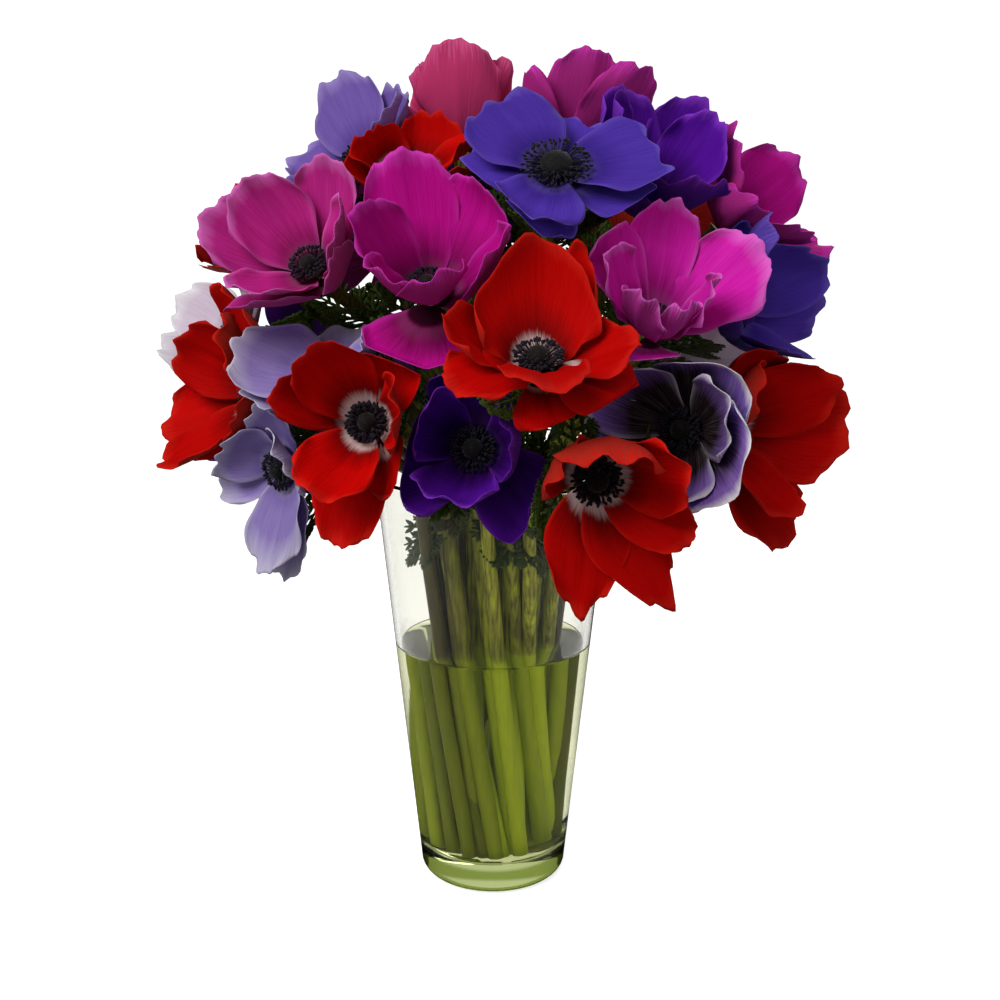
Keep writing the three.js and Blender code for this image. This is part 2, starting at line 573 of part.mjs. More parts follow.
// A closed tube of a few flat sides along a list of points, which stands upright at its foot and ends
// square to a given direction
function tube(points, radius, sides, endAlong) {
  const rings = [];
  let across = null;
  points.forEach((point, k) => {
    const before = points[Math.max(0, k - 1)];
    const after = points[Math.min(points.length - 1, k + 1)];
    let along = unit(subtract(after, before));
    if (k === 0) along = [0, 0, 1];
    if (k === points.length - 1) along = endAlong;
    const seed = across || [1, 0, 0];
    across = unit(subtract(seed, scale(along, dot(seed, along))));
    const third = cross(along, across);
    const ring = [];
    for (let s = 0; s < sides; s += 1) {
      const angle = 2 * Math.PI * s / sides;
      ring.push(mix([[point, 1], [across, radius * Math.cos(angle)], [third, radius * Math.sin(angle)]]));
    }
    rings.push(ring);
  });
  const all = [points[0], ...rings.flat(), points[points.length - 1]];
  const last = all.length - 1;
  const triangles = [];
  for (let s = 0; s < sides; s += 1) {
    const next = (s + 1) % sides;
    triangles.push([0, 1 + next, 1 + s]);
    for (let k = 0; k < rings.length - 1; k += 1) {
      const low = 1 + k * sides;
      const high = low + sides;
      triangles.push([low + s, low + next, high + next]);
      triangles.push([low + s, high + next, high + s]);
    }
    const top = 1 + (rings.length - 1) * sides;
    triangles.push([last, top + s, top + next]);
  }
  return manifoldFrom(all, triangles);
}

// One point of a cut leaf on a stem: it spreads from its foot, its tip is cut in lobes, and it arches over
function leafPoint(leaf, u, v) {
  const lobe = u === 1 && Math.round(4 * v) % 2 ? LEAF_CUT : 1;
  const along = leaf.length * u * lobe * (1 - LEAF_BLUNT * v * v);
  const across = leaf.width / 2 * v * Math.sin(Math.PI * (0.12 + 0.5 * u));
  const over = leaf.length * u * (LEAF_CUP * v * v - leaf.arch * u);
  return mix([[leaf.foot, 1], [leaf.along, along], [leaf.side, across], [leaf.over, over]]);
}

// The collar of cut leaves on a bloom's stem, some way below its head
function collarLeaves(bloom) {
  const { neck, neckPull, head, headPull } = stemPath(bloom);
  const foot = hermite(neck, neckPull, head, headPull, COLLAR_PLACE);
  const ahead = hermite(neck, neckPull, head, headPull, COLLAR_PLACE + 0.05);
  const climb = unit(subtract(ahead, foot));
  const across = unit(cross(climb, [0.3, 0.2, 1]));
  const third = cross(climb, across);
  const leaves = [];
  const count = bloom.leaves ?? COLLAR_LEAVES;
  for (let k = 0; k < count; k += 1) {
    const around = 2 * Math.PI * (k / count + draw(bloom.seed, k, 31));
    const out = mix([[across, Math.cos(around)], [third, Math.sin(around)]]);
    const side = cross(climb, out);
    const along = unit(mix([[climb, LEAF_SPREAD], [out, 1]]));
    const length = LEAF_LENGTH * (0.85 + 0.3 * draw(bloom.seed, k, 32));
    const over = cross(along, side);
    leaves.push({ foot: subtract(foot, out), along, side, over, arch: 0.1, length, width: LEAF_WIDTH });
  }
  return leaves;
}

// A frond grows out of the bundle and crosses the outer stems. At the neck it hangs down inside the glass
function frondLeaf({ around, level, reach, width, drop }) {
  const angle = radians(around);
  const out = [Math.sin(angle), -Math.cos(angle), 0];
  const side = [Math.cos(angle), Math.sin(angle), 0];
  const along = unit(add(out, [0, 0, -drop]));
  const foot = add(scale(out, FROND_ROOT), [0, 0, level]);
  return { foot, along, side, over: cross(along, side), arch: 0.16, length: reach, width };
}

function leafBody(leaf, bloom) {
  const heart = heartOf(bloom);
  const walls = wallsOf(bloom);
  const pointAt = (u, v) => keepInCell(leafPoint(leaf, u, v), heart, walls);
  return blade(netRows(LEAF_NET, pointAt), LEAF_THICKNESS);
}

function stemsBody() {
  let body = null;
  for (const bloom of BLOOMS) {
    const stem = tube(stemPoints(bloom), STEM_RADIUS, STEM_SIDES, axesOf(bloom).face);
    body = body ? body.add(stem) : stem;
    for (const leaf of collarLeaves(bloom)) body = body.add(leafBody(leaf, bloom));
  }
  for (const frond of FRONDS) {
    const leaf = frondLeaf(frond);
    body = body.add(blade(netRows(LEAF_NET, (u, v) => leafPoint(leaf, u, v)), LEAF_THICKNESS));
  }
  return body;
}

// A quarter turn of an edge, from straight down to straight out
function roundEdge(radius, height, round, steps) {
  const points = [];
  for (let k = 0; k <= steps; k += 1) {
    const angle = Math.PI / 2 * k / steps;
    points.push([radius - round + round * Math.sin(angle), height + round - round * Math.cos(angle)]);
  }
  return points;
}

function lathe(profile) {
  const points = profile.map(([r, z]) => new THREE.Vector2(r, z));
  const geometry = new THREE.LatheGeometry(points, VASE_SIDES);
  geometry.rotateX(Math.PI / 2);
  return manifoldFromGeometry(geometry);
}

function vaseBody() {
  const outer = roundEdge(glassRadius(FOOT_ROUND), 0, FOOT_ROUND, 3);
  const inner = roundEdge(innerRadius(FLOOR + FLOOR_ROUND), FLOOR, FLOOR_ROUND, 2);
  const top = glassRadius(VASE_HEIGHT);
  return lathe([[0, 0], ...outer, [top, VASE_HEIGHT - 1], [top - WALL * 0.5, VASE_HEIGHT],
    [top - WALL, VASE_HEIGHT - 1], ...inner.reverse(), [0, FLOOR]]);
}

function waterBody() {
  const low = FLOOR + GAP;
  const inner = roundEdge(innerRadius(FLOOR + FLOOR_ROUND) - GAP, low, FLOOR_ROUND, 2);
  let body = lathe([[0, low], ...inner, [innerRadius(WATER_LEVEL) - GAP, WATER_LEVEL], [0, WATER_LEVEL]]);
  for (const bloom of BLOOMS) {
    const points = stemPoints(bloom);
    points[0] = add(points[0], [0, 0, -2 * GAP]);
    body = body.subtract(tube(points, STEM_RADIUS + GAP * 1.3, STEM_SIDES, axesOf(bloom).face));
  }
  return largestPiece(body);
}

const finish = (tint, roughness, metalness = 0) =>
  new THREE.MeshStandardMaterial({ color: tint, roughness, metalness, flatShading: true });

const bouquet = new THREE.Group();
bouquet.add(namedMesh('vase', vaseBody(), finish(GLASS_TINT, 0.05)));
bouquet.add(namedMesh('water', waterBody(), finish(WATER_TINT, 0.02)));
bouquet.add(namedMesh('stems', stemsBody(), finish(STEM_TINT, 0.5)));
for (const bloom of BLOOMS) {
  bouquet.add(namedMesh(`${bloom.name}_petals`, petalBody(bloom), finish(TINTS[bloom.tint], 0.55)));
  if (bloom.disc) bouquet.add(namedMesh(`${bloom.name}_centre`, centreBody(bloom), finish(CENTRE_TINT, 0.7)));
}

export default bouquet;
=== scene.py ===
"""A bouquet of cut anemones in a clear tapered glass vase of water, on a pale studio floor.

Lengths are in millimetres until a mesh is made, and the origin is the middle of the vase's flat underside.
"""

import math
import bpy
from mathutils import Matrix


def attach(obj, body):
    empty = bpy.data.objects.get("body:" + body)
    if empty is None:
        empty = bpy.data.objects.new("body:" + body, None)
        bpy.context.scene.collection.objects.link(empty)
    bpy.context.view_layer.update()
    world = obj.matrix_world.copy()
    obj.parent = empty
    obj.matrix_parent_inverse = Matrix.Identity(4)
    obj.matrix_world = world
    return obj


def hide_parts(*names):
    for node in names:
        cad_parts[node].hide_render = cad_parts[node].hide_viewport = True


bl_info = {
    "name": "Anemone Bouquet",
    "version": (1, 0, 0),
    "blender": (4, 5, 0),
    "location": "View3D > Sidebar > Bouquet",
    "description": "Makes a bouquet of cut anemones in a glass vase of water, with its studio",
    "category": "Add Mesh",
}

import bpy
import numpy as np
from bpy.props import FloatProperty, FloatVectorProperty, IntProperty, PointerProperty

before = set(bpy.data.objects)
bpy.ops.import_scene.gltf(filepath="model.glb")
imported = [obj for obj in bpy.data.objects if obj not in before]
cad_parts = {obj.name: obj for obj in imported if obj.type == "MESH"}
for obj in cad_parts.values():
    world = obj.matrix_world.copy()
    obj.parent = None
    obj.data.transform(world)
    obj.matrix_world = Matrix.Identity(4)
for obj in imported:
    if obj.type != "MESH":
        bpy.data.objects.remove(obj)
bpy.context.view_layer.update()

MM = 0.001
TAU = 2 * math.pi
GOLDEN_ANGLE = 2.39996
UPRIGHT_AXES = np.eye(3)[[2, 0, 1]]

# Draws: steps of the seed, the petal and the channel, and the size of the sine
SEED_STEP = 127.1
PETAL_STEP = 311.7
CHANNEL_STEP = 74.7
DRAW_SIZE = 43758.5453

# Vase and water, which reaches a little into the glass so that no air shows between them
VASE_HEIGHT = 190.0
FOOT_RADIUS = 33.5
FLARE = 0.1035
WALL = 2.6
FLOOR = 14.0
FOOT_ROUND = 5.0
FLOOR_ROUND = 5.0
ROUND_STEPS = 8
BEND_CLEAR = 0.4
AXIS_RADIUS = 2.0
FOOT_FADE = 2.5
WATER_LEVEL = 111.0
WATER_BITE = 0.15
WATER_CREEP = 1.6
CREEP_RUN = 1.3
GLASS_BENDING = 1.5
WATER_BENDING = 1.333
GAP = 0.3
FLOOR_DROP = 0.2

# Stems
STEM_RADIUS = 3.6
NECK_LEVEL = 186.0
NECK_RADIUS = 40.0
FULL_LEAN = 83.0
STEM_SCATTER = 16.0
STEM_LEAN = 0.0007
FOOT_SPREAD = 0.62
FOOT_WIDEST = 21.5
FOOT_AT = (-2.5, 2.0)
FOOT_MIDDLE = 2.0
SPIRAL = 60.0
BELOW_PULL = 0.4
HEAD_PULL = 46.0
HEAD_SHARE = 0.8
STEM_FLARE = 0.5
FLARE_START = 0.97
FLARE_RUN = 0.03

# Leaves
LEAF_LENGTH = 40.0
LEAF_WIDTH = 34.0
FULL_WIDTH_LENGTH = 34
LEAF_THICKNESS = 0.5
COLLAR_PLACE = 0.62
COLLAR_AHEAD = 0.05
COLLAR_ARCH = 0.1
FROND_ARCH = 0.16
LEAF_CUP = 0.18
LEAF_SPREAD = 0.55
WHORL_LEAVES = 3
FURTHER_LEAF = 0.9
FROND_ROOT = 14.0
LEAFLET_PAIRS = 6
FIRST_PAIR = 0.16
PAIR_STEP = 0.13
FIRST_LEAN = 66
LEAN_STEP = 7
LOBES = (0.34, 0.56, 0.78)
FORK = 0.66
RIB_WIDTH = 1.6
LEAFLET_WIDTH = 1.7
LOBE_WIDTH = 1.5
BLADE_DISH = 0.35
BLADE_WAVE = 0.5

# Blooms
HUB_HEIGHT = 3.6
PETAL_START = 2.2
CLAW = 0.1
BROADEN = 0.62
TIP_ROUND = 0.2
BROAD_TIP = 2.2
LONG_TIP = 1.3
WAVE_TURNS = 3.6
WAVE_MIDDLE = 0.35
WHORL_STEP = 13.0
WHORL_SHARE = 0.94
INNER_LENGTH = 0.96
INNER_BASE = 0.7
OUTER_BASE = -0.8
CELL_CLEAR = 0.9
RIM_CLEAR = 2.0
CELL_SOFT = 0.76
HEART_SHARE = 0.34

# How much the petals of a bloom differ
TURN_SCATTER = 10
LENGTH_SCATTER = 0.14
WIDTH_SCATTER = 0.2
RISE_SCATTER = 5
BEND_SCATTER = 12
CUP_SCATTER = 0.1
CURL_SCATTER = 5
SWEEP_SCATTER = 0.1
WAVE_HEIGHT = 2.2
WAVE_SCATTER = 2

# Ruffles, notches and the crease
EDGE_WAVES = 12
TIP_WAVES = 8
NOTCH_WAVES = 9
FINE_WAVES = 21
FINE_NOTCH = 0.6
CREASE_WIDTH = 0.09
EDGE_THINNER = 0.65

# Seed heads and stamens
CENTRE_FOOT = 1.5
CENTRE_BASE = HUB_HEIGHT / 2 + GAP
CENTRE_CLEAR = 1.9
CONE_CLEAR = 1.1
CENTRE_NARROWEST = 4.0
CENTRE_HIGHEST = 9.0
CENTRE_LOWEST = 2.4
DOME_SHARE = 0.5
DOME_HEIGHT = 3.7
DOME_BASE = 0.7
SEED_ROWS = 16
SEED_SIDES = 34
SEED_SPIRALS = (13, 9)
SEED_GRAIN = 0.45
STAMEN_SPREAD = 1.06
THREAD_SIDES = 4
ANTHER_SIDES = 5
THREAD_RADII = np.array([1.2, 1.1, 1.0, 0.9])
ANTHER_RADII = np.array([0.35, 0.95, 1.0, 0.3])
ANTHER_PLACES = np.array([-0.35, 0.15, 0.95, 1.45])

# Patterns on a petal: streaks across it, how far apart two petals' patterns lie, streaks along it, detail
# and roughness
STREAKS = (5.0, 37.0, 1.2, 5.0, 0.62)
VEINS = (42.0, 61.0, 2.4, 3.0, 0.6)

# Shares of a petal's length: over which its throat blends into its main colour, where its dark patch ends,
# and where the ring of fringe starts and ends
THROAT_BLEND = 0.34
PATCH_END = (0.18, 0.14)
FRINGE_START = (0.15, 0.19)
FRINGE_END = (0.31, 0.2)

# Patterns on stems and leaves
FIBRES_ACROSS = 700.0
FIBRES_ALONG = 45.0
BLOTCHES = 60.0

# Studio, in millimetres
PAPER_FRONT = 1500.0
PAPER_BEND = 600.0
PAPER_FLAT = 900.0
PAPER_TOP = 2600.0
PAPER_SIDE = 2500.0

# Lights: a name, whose power it has, and its place, target and width in metres
LIGHTS = [
    ("key_light", "key", (-0.75, -0.9, 1.15), (0.0, 0.0, 0.24), 0.9),
    ("fill_light", "fill", (1.1, -0.7, 0.6), (0.0, 0.0, 0.22), 1.0),
    ("back_light", "rear", (0.45, 0.85, 0.95), (0.0, 0.0, 0.26), 0.6),
]


def petal(turn=None, length=None, width=None, rise=None, bend=None, **rest):
    """Numbers of a petal's own, in place of those that its bloom would give it. Others than these five are
    given by their names: spread, base, tip, taper and curl."""
    given = {"turn": turn, "length": length, "width": width, "rise": rise, "bend": bend, **rest}
    return {key: value for key, value in given.items() if value is not None}


def bloom(name, tint, at, face, size, room, petals, rise, bend, turn, disc, seed,
          leaves=1, bow=(0, 0, 0), own=None):
    """One bloom: where its petals meet the stem, where it faces (degrees right of the front, degrees above
    the level), the petals' length, its weight where it shares out the space with its neighbours, how many
    petals it has, their rise and bend in degrees, the first petal's turn clockwise from the top, the disc's
    radius, the seed of its draws, the number of its leaves that the solids have, a sideways pull on the stem
    at the neck, and its petals' own numbers."""
    return {
        "name": name, "tint": tint, "at": np.array(at, float), "face": face, "size": size, "room": room,
        "petals": petals, "rise": rise, "bend": bend, "turn": turn, "disc": disc, "seed": seed,
        "leaves": leaves, "bow": np.array(bow, float), "own": own or {},
    }


BLOOMS = [
    bloom("red_front", "red", (16, -104, 245), (2, 58), 52, 64, 8, 24, 20, 0, 9.5, 1, leaves=0, own={
        0: petal(26, 56, 50, 26, 38, tip=0.42, taper=0.7),
        1: petal(92, 38, 54, 26, 10),
        2: petal(168, 34, 50, 20, -60),
        3: petal(276, 44, 58, 28, 24),
        4: petal(-8, 52, 140, 32, 46, spread=1.5, tip=0.5, taper=0.62),
        5: petal(124, 60, 54, 36, -106),
        6: petal(236, 40, 46, 40, -40),
        7: petal(180, 40, 48, 38, 30, curl=16, base=1.4),
    }),
    bloom("blue_crown", "blue", (24, -62, 317), (0, 46), 52, 60, 7, 0, -20, 20, 12, 2, leaves=0),
    bloom("magenta_left", "magenta", (-24, -68, 270), (-8, 46), 56, 64, 7, 26, 40, -12, 9, 3, own={
        0: petal(-16, 58, 58),
        1: petal(36, 60, 50),
        2: petal(98, 54, 58),
        3: petal(190, 54, 110, -14, -14, spread=1.3),
        4: petal(152, 38, 58, 40, 40),
        5: petal(226, 38, 52, 42, 40),
        6: petal(290, 46, 52),
    }),
    bloom("pink_left", "pink", (-71, -42, 279), (-20, 34), 50, 56, 7, 22, 34, 15, 7, 4, bow=(60, 190, 0)),
    bloom("lavender_upper_left", "lavender", (-54, 8, 325), (-50, 44), 52, 52, 6, 10, 8, 14, 8, 5),
    bloom("red_upper_left", "red", (-35, -12, 317), (-6, 58), 48, 50, 5, 14, 22, 20, 8, 6, leaves=0),
    bloom("pink_crown", "pink", (-14, 22, 331), (176, 62), 46, 54, 6, 26, 40, 0, 0, 7, leaves=0, own={
        0: petal(width=66),
        1: petal(width=60),
        2: petal(width=60),
    }),
    bloom("magenta_crown", "magenta", (32, 24, 328), (165, 58), 50, 54, 7, 16, 30, 30, 8, 8, leaves=0),
    bloom("violet_crown", "violet", (64, -16, 303), (24, 50), 54, 56, 6, 24, 40, 0, 9, 9, leaves=0, own={
        0: petal(-24, 54, 70, 26),
        1: petal(50, 56, 66, 26),
    }),
    bloom("magenta_right", "magenta", (99, 2, 298), (66, 38), 52, 57, 6, 20, 22, 20, 8, 10),
    bloom("blue_right", "blue", (96, -16, 264), (58, 11), 63, 58, 7, 22, 12, 0, 9, 11),
    bloom("magenta_front", "magenta", (61, -62, 257), (10, 40), 50, 60, 8, 30, 30, 10, 6, 12, leaves=0, own={
        0: petal(-34, 56, 34),
        1: petal(8, 60, 42),
        2: petal(70, 54, 60),
        3: petal(190, 38, 60, 10, 0),
        4: petal(112, 42, 54, 44, 54),
        5: petal(166, 40, 56, 46, 50),
        6: petal(232, 40, 54, 44, 54),
        7: petal(300, 42, 44),
    }),
    bloom("white_front", "white", (78, -62, 219), (-34, 6), 54, 63, 6, 26, 34, 0, 8, 13, own={
        0: petal(30, 50, 82, bend=30, spread=1.1),
        1: petal(112, 50, 88, bend=26, spread=1.1),
        2: petal(250, 43, 66),
        3: petal(70, 42, 54, 30, 34),
        4: petal(174, 44, 60, 30),
        5: petal(306, 48, 60, 30),
    }),
    bloom("red_right", "red", (94, -28, 215), (46, 4), 58, 62, 7, 26, 20, 3, 7, 14, own={
        0: petal(width=74),
        1: petal(width=88, spread=1),
        2: petal(width=88, spread=1),
        3: petal(width=72),
    }),
    bloom("red_low", "red", (38, -96, 207), (2, -4), 54, 62, 6, 20, 30, 0, 8.5, 15, own={
        0: petal(186, 56, 42, 4, -8, tip=0.32, taper=0.68),
        1: petal(150, 60, 44, 6, -4, tip=0.34, taper=0.7),
        2: petal(300, 44, 40, 20, 90),
        3: petal(6, 58, 74, 34, 76, spread=1.1, base=-0.3),
        4: petal(76, 46, 46, 27, 56),
        5: petal(118, 42, 34, 20, 20),
    }),
    bloom("violet_front", "violet", (-6, -70, 212), (-12, 14), 46, 60, 6, 26, 56, 0, 8, 16, own={
        0: petal(8, 50, 72, 20, 52),
        1: petal(134, 46, 48, 2, 6),
        2: petal(250, 46, 66, 20, 44),
        3: petal(84, 48, 62, 32, 56),
        4: petal(190, 42, 64, 34, 54),
        5: petal(300, 46, 58, 32, 58),
    }),
    bloom("red_left", "red", (-47, -76, 223), (-6, 16), 46, 58, 7, 24, 24, 30, 9, 17, own={
        1: petal(150, 50, 40, 16, 6, tip=0.4, taper=0.78),
        2: petal(190, 48, 40, 14, 4),
        4: petal(84, 44, 58, 42, 60),
    }),
    bloom("lilac_low", "lilac", (-83, -48, 202), (-40, -10), 43, 54, 7, 16, 8, 0, 7, 18),
    bloom("red_far_left", "red", (-96, -20, 229), (-56, 10), 54, 58, 6, 24, 20, 0, 8, 19),
    bloom("white_left", "white", (-110, 8, 250), (-58, 36), 42, 50, 5, 20, 14, 0, 7, 20, leaves=0),
    bloom("red_upper_far_left", "red", (-102, 10, 283), (-70, 50), 42, 50, 5, 20, 16, 30, 7, 21),
    bloom("lavender_inner", "lavender", (-64, -57, 239), (-14, 50), 56, 54, 5, 8, -6, 0, 7, 22, leaves=0,
          own={0: petal(length=26)}),
    bloom("blue_back", "blue", (4, 60, 306), (176, 40), 60, 60, 5, 10, 6, 0, 10, 23),
    bloom("red_back_right", "red", (62, 46, 288), (136, 34), 62, 60, 5, 12, 24, 0, 7.5, 24),
    bloom("magenta_back_left", "magenta", (-54, 52, 284), (-140, 36), 62, 60, 5, 14, 22, 0, 7.5, 25),
    bloom("red_back", "red", (10, 74, 250), (-176, 12), 64, 62, 5, 12, 20, 0, 8.5, 26),
    bloom("violet_back_left", "violet", (-84, 42, 226), (-124, 8), 64, 62, 5, 14, 24, 0, 7.5, 27),
    bloom("white_back_right", "white", (80, 50, 228), (132, 8), 64, 62, 5, 12, 20, 0, 7.5, 28),
    bloom("lavender_back", "lavender", (-38, 74, 210), (-164, -4), 60, 56, 5, 12, 14, 0, 8, 29),
]

# Fronds at the neck and inside the bouquet: degrees right of the front, level, length, width and how steeply
# they drop, or rise where that is below 0
FRONDS = [
    (38, 186, 38, 44, 0.95),
    (-58, 184, 38, 40, 0.9),
    (100, 184, 36, 42, 0.8),
    (190, 184, 36, 44, 0.8),
    (-80, 206, 72, 58, -1),
    (10, 204, 50, 58, -1.3),
    (58, 204, 56, 56, -0.9),
    (96, 206, 70, 56, -1.7),
    (180, 206, 64, 60, -1.2),
]

# Finer tufts among them, in the same numbers
TUFTS = [
    (14, 180, 30, 34, 0.9),
    (30, 196, 36, 36, 0.7),
    (52, 182, 34, 34, 1.1),
    (-30, 192, 32, 30, 0.6),
]


# What each tint of petal looks like: its main colour, the deep colour of its throat, which is partly the
# petal's own dark base and partly painted shade in the cup, its rim, a pale edge that is partly painted
# highlight, its back, the ring of pale fringe round the disc and how strong that is, the patch inside the
# ring, and where its main colour starts and ends along it
TINTS = {
    "red": {
        "main": (0.6, 0.0015, 0.001), "deep": (0.12, 0.0005, 0.001), "rim": (0.74, 0.015, 0.008),
        "back": (0.56, 0.03, 0.018), "fringe": (0.85, 0.62, 0.6), "open": (0.56, 0.88),
        "strength": 0.95, "patch": (0.01, 0.001, 0.003),
    },
    "magenta": {
        "main": (0.54, 0.004, 0.27), "deep": (0.15, 0.001, 0.05), "rim": (0.74, 0.05, 0.52),
        "back": (0.52, 0.03, 0.28), "fringe": (0.55, 0.12, 0.36), "open": (0.56, 0.88),
        "strength": 0.2, "patch": (0.04, 0.002, 0.016),
    },
    "pink": {
        "main": (0.62, 0.022, 0.29), "deep": (0.22, 0.003, 0.06), "rim": (0.8, 0.17, 0.58),
        "back": (0.58, 0.07, 0.3), "fringe": (0.6, 0.2, 0.4), "open": (0.5, 0.84),
        "strength": 0.2, "patch": (0.06, 0.004, 0.02),
    },
    "orchid": {
        "main": (0.76, 0.014, 0.47), "deep": (0.22, 0.002, 0.1), "rim": (0.88, 0.16, 0.7),
        "back": (0.66, 0.05, 0.42), "fringe": (0.6, 0.15, 0.45), "open": (0.54, 0.86),
        "strength": 0.2, "patch": (0.05, 0.002, 0.03),
    },
    "crimson": {
        "main": (0.6, 0.02, 0.14), "deep": (0.2, 0.002, 0.03), "rim": (0.72, 0.1, 0.28),
        "back": (0.6, 0.045, 0.17), "fringe": (0.6, 0.2, 0.4), "open": (0.5, 0.9),
        "strength": 0.2, "patch": (0.06, 0.004, 0.02),
    },
    "blue": {
        "main": (0.085, 0.036, 0.42), "deep": (0.03, 0.01, 0.19), "rim": (0.17, 0.1, 0.56),
        "back": (0.12, 0.065, 0.45), "fringe": (0.22, 0.17, 0.55), "open": (0.5, 0.88),
        "strength": 0.3, "patch": (0.01, 0.004, 0.04),
    },
    "violet": {
        "main": (0.1, 0.006, 0.34), "deep": (0.02, 0.001, 0.065), "rim": (0.25, 0.04, 0.58),
        "back": (0.13, 0.02, 0.38), "fringe": (0.2, 0.1, 0.42), "open": (0.62, 0.9),
        "strength": 0.1, "patch": (0.005, 0.001, 0.01),
    },
    "lavender": {
        "main": (0.19, 0.11, 0.44), "deep": (0.07, 0.03, 0.24), "rim": (0.36, 0.27, 0.62),
        "back": (0.24, 0.15, 0.48), "fringe": (0.5, 0.42, 0.68), "open": (0.5, 0.84),
        "strength": 0.3, "patch": (0.025, 0.008, 0.07),
    },
    "lilac": {
        "main": (0.33, 0.24, 0.6), "deep": (0.13, 0.06, 0.38), "rim": (0.72, 0.67, 0.86),
        "back": (0.42, 0.33, 0.66), "fringe": (0.72, 0.67, 0.84), "open": (0.42, 0.66),
        "strength": 0.35, "patch": (0.04, 0.015, 0.1),
    },
    "white": {
        "main": (0.66, 0.55, 0.66), "deep": (0.22, 0.08, 0.13), "rim": (0.86, 0.82, 0.86),
        "back": (0.72, 0.64, 0.72), "fringe": (0.5, 0.3, 0.42), "open": (0.42, 0.8),
        "strength": 0.3, "patch": (0.03, 0.01, 0.025),
    },
    # Plum, for the white bloom in front: its near-black throat runs most of the way up the petal before the
    # violet and the white rim, and is partly painted shade inside the cup
    "plum": {
        "main": (0.27, 0.13, 0.56), "deep": (0.016, 0.004, 0.008), "rim": (0.9, 0.86, 0.92),
        "back": (0.5, 0.42, 0.68), "fringe": (0.03, 0.012, 0.02), "open": (0.82, 0.86),
        "strength": 0.3, "patch": (0.006, 0.003, 0.006),
    },
}

# Blooms that look unlike the rest of their tint
LOOKS = {
    "white_front": "plum",
    "lavender_inner": "lilac",
    "pink_crown": "crimson",
    "magenta_front": "orchid",
}


# Vectors and draws

def unit(vectors):
    """Each vector divided by its length."""
    length = np.linalg.norm(vectors, axis=-1, keepdims=True)
    return vectors / np.maximum(length, 1e-12)


def draw(seed, k, channel):
    """The same number from 0 to 1 for the same seed, petal and channel: the fraction of a large sine."""
    wave = math.sin(seed * SEED_STEP + k * PETAL_STEP + channel * CHANNEL_STEP) * DRAW_SIZE
    return wave - math.floor(wave)


def glass_radius(height):
    """The vase's outer radius at a height."""
    return FOOT_RADIUS + FLARE * height


def inner_radius(height):
    """The vase's inner radius at a height."""
    return glass_radius(height) - WALL


# Where blooms lie and how far they reach

def axes_of(flower):
    """A bloom's own axes: face out of it, up and right across it, as someone who looks into it sees them."""
    turned, raised = (math.radians(angle) for angle in flower["face"])
    face = np.array([
        math.sin(turned) * math.cos(raised),
        -math.cos(turned) * math.cos(raised),
        math.sin(raised),
    ])
    up = unit(np.array([0.0, 0.0, 1.0]) - face * face[2])
    return face, up, np.cross(up, face)


def heart_of(flower):
    """The middle of a bloom's cup."""
    return flower["at"] + axes_of(flower)[0] * flower["size"] * HEART_SHARE


def walls_of(flower):
    """The flat walls that keep a bloom clear of its neighbours and of the vase, as directions and distances:
    each wall stands between two hearts, nearer to the one whose bloom has less room."""
    heart = heart_of(flower)
    normals, distances = [], []
    for other in BLOOMS:
        if other is flower:
            continue
        away = heart_of(other) - heart
        apart = np.linalg.norm(away)
        middle = (apart ** 2 + flower["room"] ** 2 - other["room"] ** 2) / (2 * apart)
        normals.append(away / apart)
        distances.append(middle - CELL_CLEAR)
    outward = math.hypot(heart[0], heart[1])
    rim = glass_radius(VASE_HEIGHT) + RIM_CLEAR
    if heart[2] - flower["size"] < VASE_HEIGHT + RIM_CLEAR:
        normals.append(np.array([-heart[0] / outward, -heart[1] / outward, 0.0]))
        distances.append(outward - rim)
    return heart, np.array(normals), np.array(distances)


def keep_in_cell(points, cell):
    """Points past their share of the way to the nearest wall are drawn in by a falling exponential, so that
    they never pass the wall."""
    heart, normals, distances = cell
    away = points - heart
    far = np.linalg.norm(away, axis=-1)
    toward = away / np.maximum(far, 1e-6)[..., None]
    slope = toward @ normals.T
    reach = np.where(slope > 1e-6, distances / np.maximum(slope, 1e-6), 1e6).min(axis=-1)
    start = reach * CELL_SOFT
    spare = reach - start
    drawn = start + spare * (1 - np.exp(-(far - start) / spare))
    return heart + toward * np.where(far <= start, far, drawn)[..., None]


# Petals

def petals_of(flower):
    """What each petal of a bloom is like. An outer and an inner whorl take turns round the bloom, and the
    inner one rises more steeply, so that the whorls nest. Each petal differs a little by its seed."""
    listed = []
    count = flower["petals"]
    outer = math.ceil(count / 2)
    for k in range(count):
        inner = int(k >= outer)
        whorl = count - outer if inner else outer
        place = k - outer + 0.5 if inner else k
        r = [draw(flower["seed"], k, channel) - 0.5 for channel in range(10)]
        listed.append({
            "turn": flower["turn"] + place * 360 / whorl + TURN_SCATTER * r[1],
            "length": flower["size"] * (1 + LENGTH_SCATTER * r[2]) * (INNER_LENGTH if inner else 1),
            "width": flower["size"] * (1 + WIDTH_SCATTER * r[3]),
            "spread": WHORL_SHARE * math.pi / whorl,
            "base": INNER_BASE if inner else OUTER_BASE,
            "rise": flower["rise"] + WHORL_STEP * inner + RISE_SCATTER * r[4],
            "bend": flower["bend"] + BEND_SCATTER * r[5],
            "cup": CUP_SCATTER * r[6],
            "curl": CURL_SCATTER * r[7],
            "sweep": SWEEP_SCATTER * r[8],
            "wave": WAVE_HEIGHT + WAVE_SCATTER * r[9],
            "phase": TAU * draw(flower["seed"], k, 10),
            "tip": TIP_ROUND,
            "taper": BROADEN,
            **flower["own"].get(k, {}),
        })
    return listed


